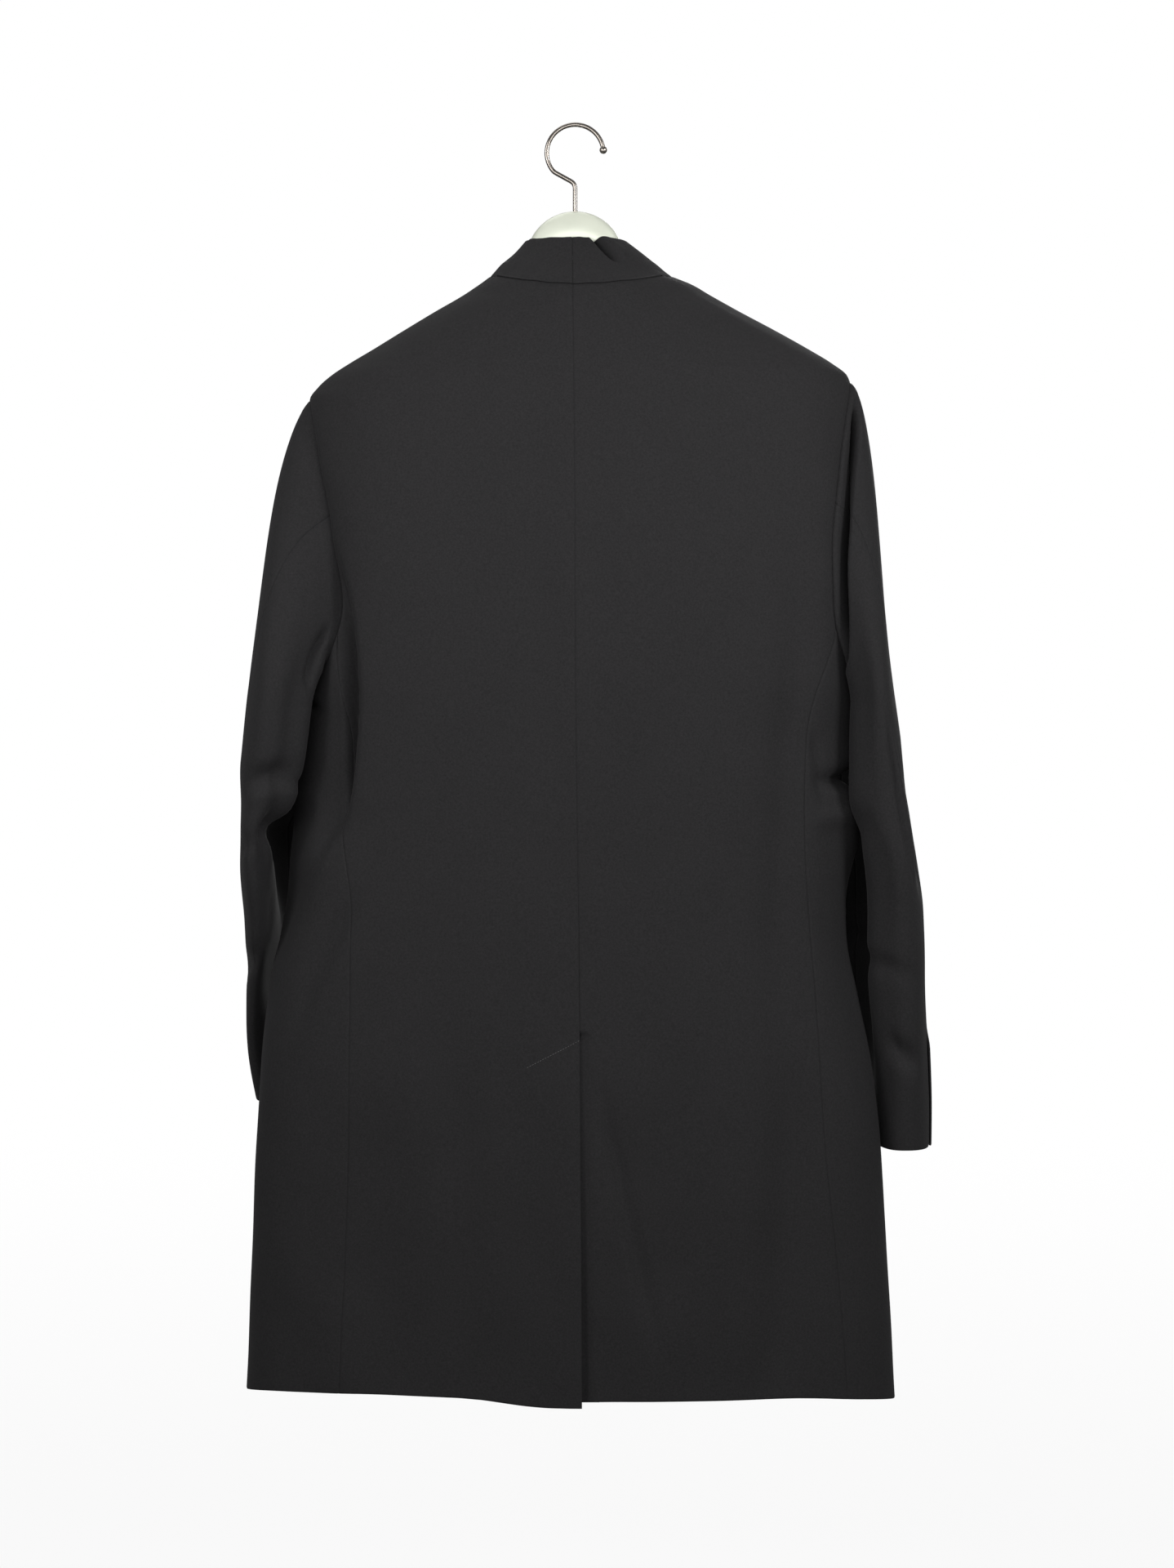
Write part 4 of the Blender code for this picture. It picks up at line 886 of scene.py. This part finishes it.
def wall(name, points, weave, cells, facing):
    """A closed wall of cloth: the grid of points, the same grid set in along its normals by the
    cloth's thickness, and a rim round every edge of the cells that are kept."""
    over, down = np.gradient(points, axis=1), np.gradient(points, axis=0)
    inner = points - CLOTH * unit(-facing * np.cross(over, down))
    rows, columns = points.shape[:2]
    number = np.arange(rows * columns).reshape(rows, columns)
    far = rows * columns
    corners = [number[:-1, :-1], number[1:, :-1], number[1:, 1:], number[:-1, 1:]]
    faces = np.stack([corner[cells] for corner in corners], -1)
    rim = rim_of(number, cells)
    rim = np.stack([rim[:, 1], rim[:, 0], rim[:, 0] + far, rim[:, 1] + far], -1)
    faces = np.concatenate([faces, faces[:, ::-1] + far, rim])
    if facing < 0:
        faces = faces[:, ::-1]
    used, faces = np.unique(faces, return_inverse=True)
    faces = faces.reshape(-1, 4)
    both = np.concatenate([points.reshape(-1, 3), inner.reshape(-1, 3)])[used]
    sheet = np.concatenate([weave.reshape(-1, 2)] * 2)[used]
    return make_mesh(name + "_cloth", both, faces, MATERIALS["coat cloth"], sheet)


def lofted(name, rings, finish):
    """A closed bar through rings of points, each end drawn together to a point."""
    sides = rings.shape[1]
    first, last = rings[:1].mean(1, keepdims=True), rings[-1:].mean(1, keepdims=True)
    tips = [np.repeat(first, sides, 1), np.repeat(last, sides, 1)]
    rings = np.concatenate([tips[0], rings, tips[1]])
    number = np.arange(rings.shape[0] * sides).reshape(-1, sides)
    number[0], number[-1] = number[0, 0], number[-1, 0]
    after = np.roll(number, -1, 1)
    faces = np.stack([number[:-1], after[:-1], after[1:], number[1:]], -1).reshape(-1, 4)
    body = faces[sides:-sides]
    start, end = faces[:sides][:, [0, 2, 3]], faces[-sides:][:, [0, 1, 2]]
    mesh = bpy.data.meshes.new(name)
    used = np.unique(np.concatenate([body.ravel(), start.ravel(), end.ravel()]))
    points = rings.reshape(-1, 3)[used]
    listed = [np.searchsorted(used, part).tolist() for part in (body, start, end)]
    mesh.from_pydata(points.tolist(), [], listed[0] + listed[1] + listed[2])
    mesh.materials.append(finish)
    mesh.shade_smooth()
    return placed(name, mesh)


# The hanger


def arc(centre, radius, start, end, count):
    """Points of a circle in the XZ plane between two angles in degrees."""
    angle = np.radians(np.linspace(start, end, count))
    x = centre[0] + radius * np.cos(angle)
    z = centre[1] + radius * np.sin(angle)
    return np.stack([x, np.zeros(count), z], -1)


def round_angles(count):
    """Evenly spaced angles round a circle."""
    return np.linspace(0, math.tau, count + 1)[:-1]


def circles(path, radii, first, second, sides):
    """A ring round each point of a path: radius * (cos a * first + sin a * second)."""
    angle = round_angles(sides)[:, None]
    return path[:, None] + radii[:, None, None] * (np.cos(angle) * first + np.sin(angle) * second)


def hook():
    """The wire hook: stem, slanting neck, round bow and a ball on its end."""
    bow_z = -HOOK_RADIUS + HOOK_WIRE
    bow = arc((0, bow_z), HOOK_RADIUS, *HOOK_BOW, 110)
    stem = np.linspace(DOME_TOP_Z - HOOK_SINK, HOOK_NECK_Z, 12)[:, None] * [0, 0, 1]
    turn = arc((-HOOK_NECK_RADIUS, HOOK_NECK_Z), HOOK_NECK_RADIUS, 0, 55, 16)[1:]
    path = np.vstack([stem, turn, bow])
    fine = np.concatenate([[0], np.linalg.norm(np.diff(path, axis=0), axis=1).cumsum()])
    even_place = np.linspace(0, fine[-1], 170)
    path = np.stack([np.interp(even_place, fine, path[:, axis]) for axis in range(3)], -1)
    path[2:-2] = (path[:-4] + path[1:-3] + path[2:-2] + path[3:-1] + path[4:]) / 5
    end = np.linspace(-HOOK_BALL, HOOK_BALL, 21)
    ahead = unit(path[-1] - path[-2])
    kept = even_place < fine[-1] - HOOK_BALL
    ball_radii = np.sqrt(np.maximum(HOOK_BALL**2 - end**2, 1e-9))
    ball_radii = np.where(end < 0, np.maximum(ball_radii, HOOK_WIRE), ball_radii)
    radii = np.concatenate([np.full(kept.sum(), HOOK_WIRE), ball_radii])
    path = np.vstack([path[kept], path[-1] + end[:, None] * ahead])
    along = unit(np.gradient(path, axis=0))
    square = np.array([0.0, 1.0, 0.0])
    rings = circles(path, radii, square, np.cross(along, square)[:, None], HOOK_SIDES)
    return lofted("hook_wire", rings, MATERIALS["hook steel"])


def ridge_height(side, x):
    """Height of the shoulder's ridge at a distance from the middle."""
    z = np.linspace(STAND_TOP_Z, armhole(side, [0])[1][0], 200)
    return np.interp(x, read(TORSO, SIDE_NAMES[side], z), z)


def hanger_top(side, x):
    """Height of the hanger's top edge: a dome in the neck, then just under the coat's shoulder."""
    dome = DOME_TOP_Z - DOME_RADIUS + np.sqrt(np.maximum(DOME_RADIUS**2 - x**2, 0))
    fall = (ridge_height(side, x - 0.002) - ridge_height(side, x + 0.002)) / 0.004
    arm = ridge_height(side, x) - (CLOTH + ARM_CLEARANCE) * np.sqrt(1 + fall**2)
    return np.where(x <= DOME_HALF, dome, np.minimum(arm, ARM_ROOT_Z))


def hanger():
    """The hanger: oval sections across the shoulders, deeper front to back towards the ends."""
    dome = np.linspace(0.001, DOME_HALF, 40)
    angle = round_angles(ARM_SIDES)
    rings = []
    for side in (LEFT, RIGHT):
        shares = 1 - (1 - np.linspace(0, 1, 70)) ** 1.4
        arm = ARM_ROOT + (ARM_REACH[side] - ARM_ROOT) * shares
        x = np.concatenate([dome, arm])
        share = np.maximum(x - ARM_ROOT, 0) / (ARM_REACH[side] - ARM_ROOT)
        end_round = np.sqrt(np.maximum(1 - ease(0.88, 1.0, share) ** 2, 0.04))
        height = ((ARM_TALL - ARM_TAPER * share) * end_round)[:, None]
        deep = ((ARM_HALF_THICK + ARM_WIDENING * ease(0.05, 0.9, share)) * end_round)[:, None]
        top = hanger_top(side, x)[:, None]
        z = top - height / 2 * (1 - np.sin(angle))
        ring = np.stack([np.repeat(side * x[:, None], ARM_SIDES, 1), deep * np.cos(angle), z], -1)
        rings.append(ring[::-1] if side == LEFT else ring)
    return lofted("hanger_shell", np.concatenate(rings), MATERIALS["hanger silver"])


# The vent's stitches


def vent_stitches():
    """Short hand stitches in a slanting row from the vent's top, which hold the underlap: each is an
    eight-sided bead, radius * sin(pi t)^0.6, laid on the left back."""
    share = (np.arange(STITCHES) + 0.5) / STITCHES
    z = VENT_TOP_Z - STITCH_DROP - UNDERLAP_SLANT * share
    girth = centre_back(LEFT, z) + UNDERLAP * share / BODY_CLOTH_LENGTH
    ends = []
    for way in (-1, 1):
        end_girth = girth + way * STITCH_REACH / BODY_CLOTH_LENGTH
        ends.append(body_place(LEFT, end_girth, z - way * STITCH_FALL, STITCH_LIFT))
    along = np.linspace(0, 1, 7)
    radius = STITCH_RADIUS * np.sin(np.pi * np.clip(along, 0.06, 0.94)) ** 0.6
    beads = []
    for start, end in zip(*ends):
        path = start + along[:, None] * (end - start)
        ahead = unit(end - start)
        first = np.cross(ahead, [0.0, 1.0, 0.0])
        rings = circles(path, radius, first, np.cross(ahead, first), STITCH_SIDES)
        beads.append(lofted("vent_stitch", rings, MATERIALS["stitch thread"]))
    return joined("vent_stitches", beads)


def joined(name, parts):
    """Several mesh objects made into one."""
    with bpy.context.temp_override(active_object=parts[0], selected_editable_objects=parts):
        bpy.ops.object.join()
    parts[0].name = name
    return parts[0]


# Materials


class Value:
    """A shader socket as a number: an expression on values adds its Math nodes."""

    def __init__(self, shader, socket):
        self.shader, self.socket = shader, socket

    def maths(self, operation, *others):
        """This value and any others through one Math node."""
        sockets = dict(enumerate([self, *others]))
        return self.shader.node("ShaderNodeMath", {"operation": operation}, sockets).out()

    def __add__(self, other):
        return self.maths("ADD", other)

    def __mul__(self, other):
        return self.maths("MULTIPLY", other)

    def __rsub__(self, other):
        return (self * -1.0) + other

    def __sub__(self, other):
        return self.maths("SUBTRACT", other)

    __radd__ = __add__
    __rmul__ = __mul__

    def sine(self):
        """The sine of this value in radians."""
        return self.maths("SINE")

    def clamped(self):
        """This value held between 0 and 1."""
        return self.maths("MAXIMUM", 0.0).maths("MINIMUM", 1.0)


class Node:
    """A shader node, whose outputs can be taken as values."""

    def __init__(self, shader, node):
        self.shader, self.node = shader, node

    def out(self, name=0):
        """One output, by its name or number."""
        return Value(self.shader, self.node.outputs[name])


class Shader:
    """A material and one way to add any node to it."""

    def __init__(self, name, constants):
        self.material = bpy.data.materials.new(name)
        self.material.use_nodes = True
        self.tree = self.material.node_tree
        self.surface = self.tree.nodes["Principled BSDF"]
        for socket, value in constants.items():
            self.surface.inputs[socket].default_value = value

    def node(self, kind, settings=None, sockets=None):
        """A node of this kind, its settings first, then the values or links of its sockets."""
        made = self.tree.nodes.new(kind)
        for setting, value in (settings or {}).items():
            setattr(made, setting, value)
        for socket, value in (sockets or {}).items():
            self.feed(made.inputs[socket], value)
        return Node(self, made)

    def feed(self, socket, value):
        """Links a value to a socket, or sets the socket to a plain number or colour."""
        if isinstance(value, Value):
            self.tree.links.new(value.socket, socket)
        else:
            socket.default_value = value

    def place(self):
        """Where the shaded point is on the object."""
        return self.node("ShaderNodeTexCoord").out("Object")

    def noise(self, where, scale, detail=2.0, roughness=0.5):
        """Noise between 0 and 1, middling 0.5."""
        sockets = {"Vector": where, "Scale": scale, "Detail": detail, "Roughness": roughness}
        return self.node("ShaderNodeTexNoise", {"noise_dimensions": "3D"}, sockets).out("Fac")

    def mixed(self, factor, first, second):
        """A colour between two colours."""
        sockets = {"Factor": factor, 6: first, 7: second}
        node = self.node("ShaderNodeMix", {"data_type": "RGBA", "clamp_factor": True}, sockets)
        return Value(self, node.node.outputs[2])

    def bump(self, height, distance, strength):
        """A normal tilted by a height field."""
        sockets = {"Height": height, "Distance": distance, "Strength": strength}
        return self.node("ShaderNodeBump", None, sockets).out()

    def finish(self, **links):
        """The material, with values fed to its surface's named sockets."""
        for socket, value in links.items():
            self.feed(self.surface.inputs[socket.replace("_", " ")], value)
        return self.material


def coat_cloth():
    """Near-black fine wool twill: diagonal ribs half a millimetre apart crossed by the yarns, with
    fibre fuzz, faint light flecks and a slightly uneven nap."""
    shader = Shader(
        "coat cloth",
        {"Sheen Weight": 0.04, "Sheen Roughness": 0.4, "Specular IOR Level": 0.16, "IOR": 1.45},
    )
    sheet = shader.node("ShaderNodeUVMap", {"uv_map": "weave"}).out()
    axes = shader.node("ShaderNodeSeparateXYZ", None, {"Vector": sheet})
    across, up = axes.out("X"), axes.out("Y")
    where = shader.place()
    wander = shader.noise(where, 160.0) - 0.5
    rib = ((across * 0.84 + up * 0.54) * (math.tau / 0.00062) + wander * 1.6).sine()
    yarn = ((across * 0.30 - up * 0.95) * (math.tau / 0.00040) + wander * 1.6).sine()
    fuzz = shader.noise(where, 2600.0, 3.0, 0.7)
    slub = shader.noise(where, 620.0, 2.0, 0.6)
    nap = shader.noise(where, 14.0, 3.0, 0.55)
    height = rib * 0.35 + yarn * 0.18 + fuzz * 0.75
    fleck = (fuzz - 0.5) * 1.1 + (slub - 0.5) * 1.0 + (nap - 0.5) * 0.3
    light = (rib * 0.12 + yarn * 0.06 + fleck + 0.45).clamped()
    colour = shader.mixed(light, (0.0125, 0.0122, 0.0128, 1), (0.0295, 0.0285, 0.0298, 1))
    return shader.finish(
        Base_Color=colour,
        Roughness=0.74 + (nap - 0.5) * 0.16 + (fuzz - 0.5) * 0.12,
        Normal=shader.bump(height, 0.00010, 0.55),
    )


def hanger_silver():
    """Pale greenish silver paint on the hanger, faintly mottled, with fine flakes in it."""
    shader = Shader("hanger silver", {"Metallic": 0.2, "Coat Weight": 0.25, "Coat Roughness": 0.2})
    where = shader.place()
    cloud, flake = shader.noise(where, 60.0, 3.0), shader.noise(where, 4200.0, 1.0)
    tone = (cloud * 0.7 + flake * 0.3).clamped()
    colour = shader.mixed(tone, (0.72, 0.755, 0.635, 1), (0.84, 0.87, 0.745, 1))
    return shader.finish(
        Base_Color=colour,
        Roughness=0.36 + (cloud - 0.5) * 0.16,
        Normal=shader.bump(cloud * 0.6 + flake * 0.4, 0.00005, 0.25),
    )


def hook_steel():
    """Dark nickel wire, drawn along its length, a little duller in patches."""
    shader = Shader("hook steel", {"Metallic": 1.0})
    where = shader.place()
    patch, grain = shader.noise(where, 220.0, 3.0), shader.noise(where, 3800.0, 2.0)
    colour = shader.mixed(patch, (0.30, 0.27, 0.24, 1), (0.46, 0.42, 0.38, 1))
    return shader.finish(
        Base_Color=colour,
        Roughness=0.24 + (patch - 0.5) * 0.16 + (grain - 0.5) * 0.08,
        Normal=shader.bump(grain, 0.00002, 0.3),
    )


def stitch_thread():
    """Dark twisted sewing thread with a soft shine."""
    shader = Shader("stitch thread", {"Sheen Weight": 0.3, "Sheen Roughness": 0.3})
    where = shader.place()
    strand = shader.noise(where, 5200.0, 2.0)
    colour = shader.mixed(strand, (0.055, 0.053, 0.054, 1), (0.125, 0.122, 0.124, 1))
    return shader.finish(Base_Color=colour, Roughness=0.55 + (strand - 0.5) * 0.2)


def floor_paint():
    """Plain pale studio floor, which thins out into the white surround away from the coat."""
    shader = Shader("studio floor", {"Specular IOR Level": 0.1})
    where = shader.place()
    tone = shader.noise(where, 1.5)
    colour = shader.mixed(tone, (0.86, 0.855, 0.845, 1), (0.88, 0.875, 0.865, 1))
    away = shader.node("ShaderNodeVectorMath", {"operation": "LENGTH"}, {0: where}).out("Value")
    solid = (1.0 - away * (1 / 9.0)).clamped()
    return shader.finish(
        Base_Color=colour,
        Roughness=0.9 + (tone - 0.5) * 0.04,
        Alpha=solid * solid * 0.16,
    )


MATERIALS = {
    "coat cloth": coat_cloth(),
    "hanger silver": hanger_silver(),
    "hook steel": hook_steel(),
    "stitch thread": stitch_thread(),
    "studio floor": floor_paint(),
}


# The studio

PIXEL = 0.00067  # metres in the photograph's pixel at the coat
PHOTO_TALL = 1920  # of those pixels
SENSOR = 36.0
CAMERA_AWAY = 3.0
CAMERA_X, CAMERA_Z = 0.0097, -0.5390
FLOOR_Z = -1.6200
FLOOR_RADIUS = 10
FLOOR_CORNERS = 96
SURROUND_LIGHT = 0.17  # share of the surround's white that falls on the coat

# Soft lights: a long one behind the coat, one at each side of the camera, and weaker ones from
# above and on the hidden front. Each has a place, an aim, a size, wide and tall, and its watts.
LIGHTS = [
    ("key light", (-0.10, -1.15, -0.16), (0, 0, -0.38), (1.8, 0.35), 7.8),
    ("left light", (-1.15, -1.00, 0.18), (-0.15, 0, -0.36), (0.4, 0.8), 8.5),
    ("right light", (1.15, -1.00, 0.18), (0.15, 0, -0.36), (0.4, 0.8), 13),
    ("top light", (-0.3, 0.5, 1.3), (0, 0, -0.25), (1.2, 1.2), 6),
    ("front light", (0.4, 1.8, 0.1), (0, 0, -0.5), (1.2, 1.2), 16),
]


def camera():
    """The camera straight behind the coat, level, with the frame 1438 by 1920 of those pixels."""
    data = bpy.data.cameras.new("studio camera")
    data.sensor_fit = "AUTO"
    data.sensor_width = SENSOR
    data.lens = SENSOR * CAMERA_AWAY / (PHOTO_TALL * PIXEL)
    made = placed("studio camera", data)
    made.location = (CAMERA_X, -CAMERA_AWAY, CAMERA_Z)
    made.rotation_euler = (math.pi / 2, 0, 0)
    bpy.context.scene.camera = made


def area_light(name, place, aim, size, watts):
    """A soft light, (wide, tall), at a place, turned to face its aim, and not itself seen."""
    data = bpy.data.lights.new(name, "AREA")
    data.shape = "RECTANGLE"
    data.size, data.size_y = size
    data.energy = watts
    made = placed(name, data)
    made.location = place
    away = np.array(aim) - np.array(place)
    flat = math.hypot(away[0], away[1])
    made.rotation_euler = (math.atan2(flat, -away[2]), 0, math.atan2(-away[0], away[1]))
    made.visible_camera = False


def surround():
    """A white surround that lights the coat more weakly than it looks."""
    world = bpy.data.worlds.new("studio white")
    world.use_nodes = True
    tree = world.node_tree
    seen = tree.nodes.new("ShaderNodeLightPath").outputs["Is Camera Ray"]
    strength = tree.nodes.new("ShaderNodeMapRange")
    tree.links.new(seen, strength.inputs["Value"])
    strength.inputs["To Min"].default_value = SURROUND_LIGHT
    strength.inputs["To Max"].default_value = 1.0
    background = tree.nodes["Background"]
    background.inputs["Color"].default_value = (1.0, 1.0, 1.0, 1)
    tree.links.new(strength.outputs["Result"], background.inputs["Strength"])
    return world


def studio():
    """The surround, the soft lights and a wide round floor."""
    scene = bpy.context.scene
    scene.view_settings.view_transform = "Standard"
    scene.world = surround()
    for light in LIGHTS:
        area_light(*light)
    mesh = bpy.data.meshes.new("floor")
    angle = np.arange(FLOOR_CORNERS) * math.tau / FLOOR_CORNERS
    x, y = FLOOR_RADIUS * np.cos(angle), FLOOR_RADIUS * np.sin(angle)
    ring = np.stack([x, y, np.full(FLOOR_CORNERS, FLOOR_Z)], -1)
    mesh.from_pydata(ring.tolist(), [], [list(range(FLOOR_CORNERS))])
    mesh.materials.append(MATERIALS["studio floor"])
    floor = placed("floor", mesh)


# The whole coat


def dress(made, node):
    """Hangs a piece under the root in place of a CAD node, and hides that node's part."""
    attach(made, "root")
    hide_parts(node)


def main():
    """Studio, hanger, both halves of the coat and its stitches."""
    camera()
    studio()
    dress(hook(), "hanger_hook")
    dress(hanger(), "hanger_body")
    for side in (LEFT, RIGHT):
        pieces = [back_piece(side), side_piece(side), front_piece(side), *sleeve_pieces(side)]
        for cut, made in zip(FLAT, pieces):
            dress(made, cut + "_" + SIDE_NAMES[side])
    stitches = vent_stitches()
    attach(stitches, "root")


main()
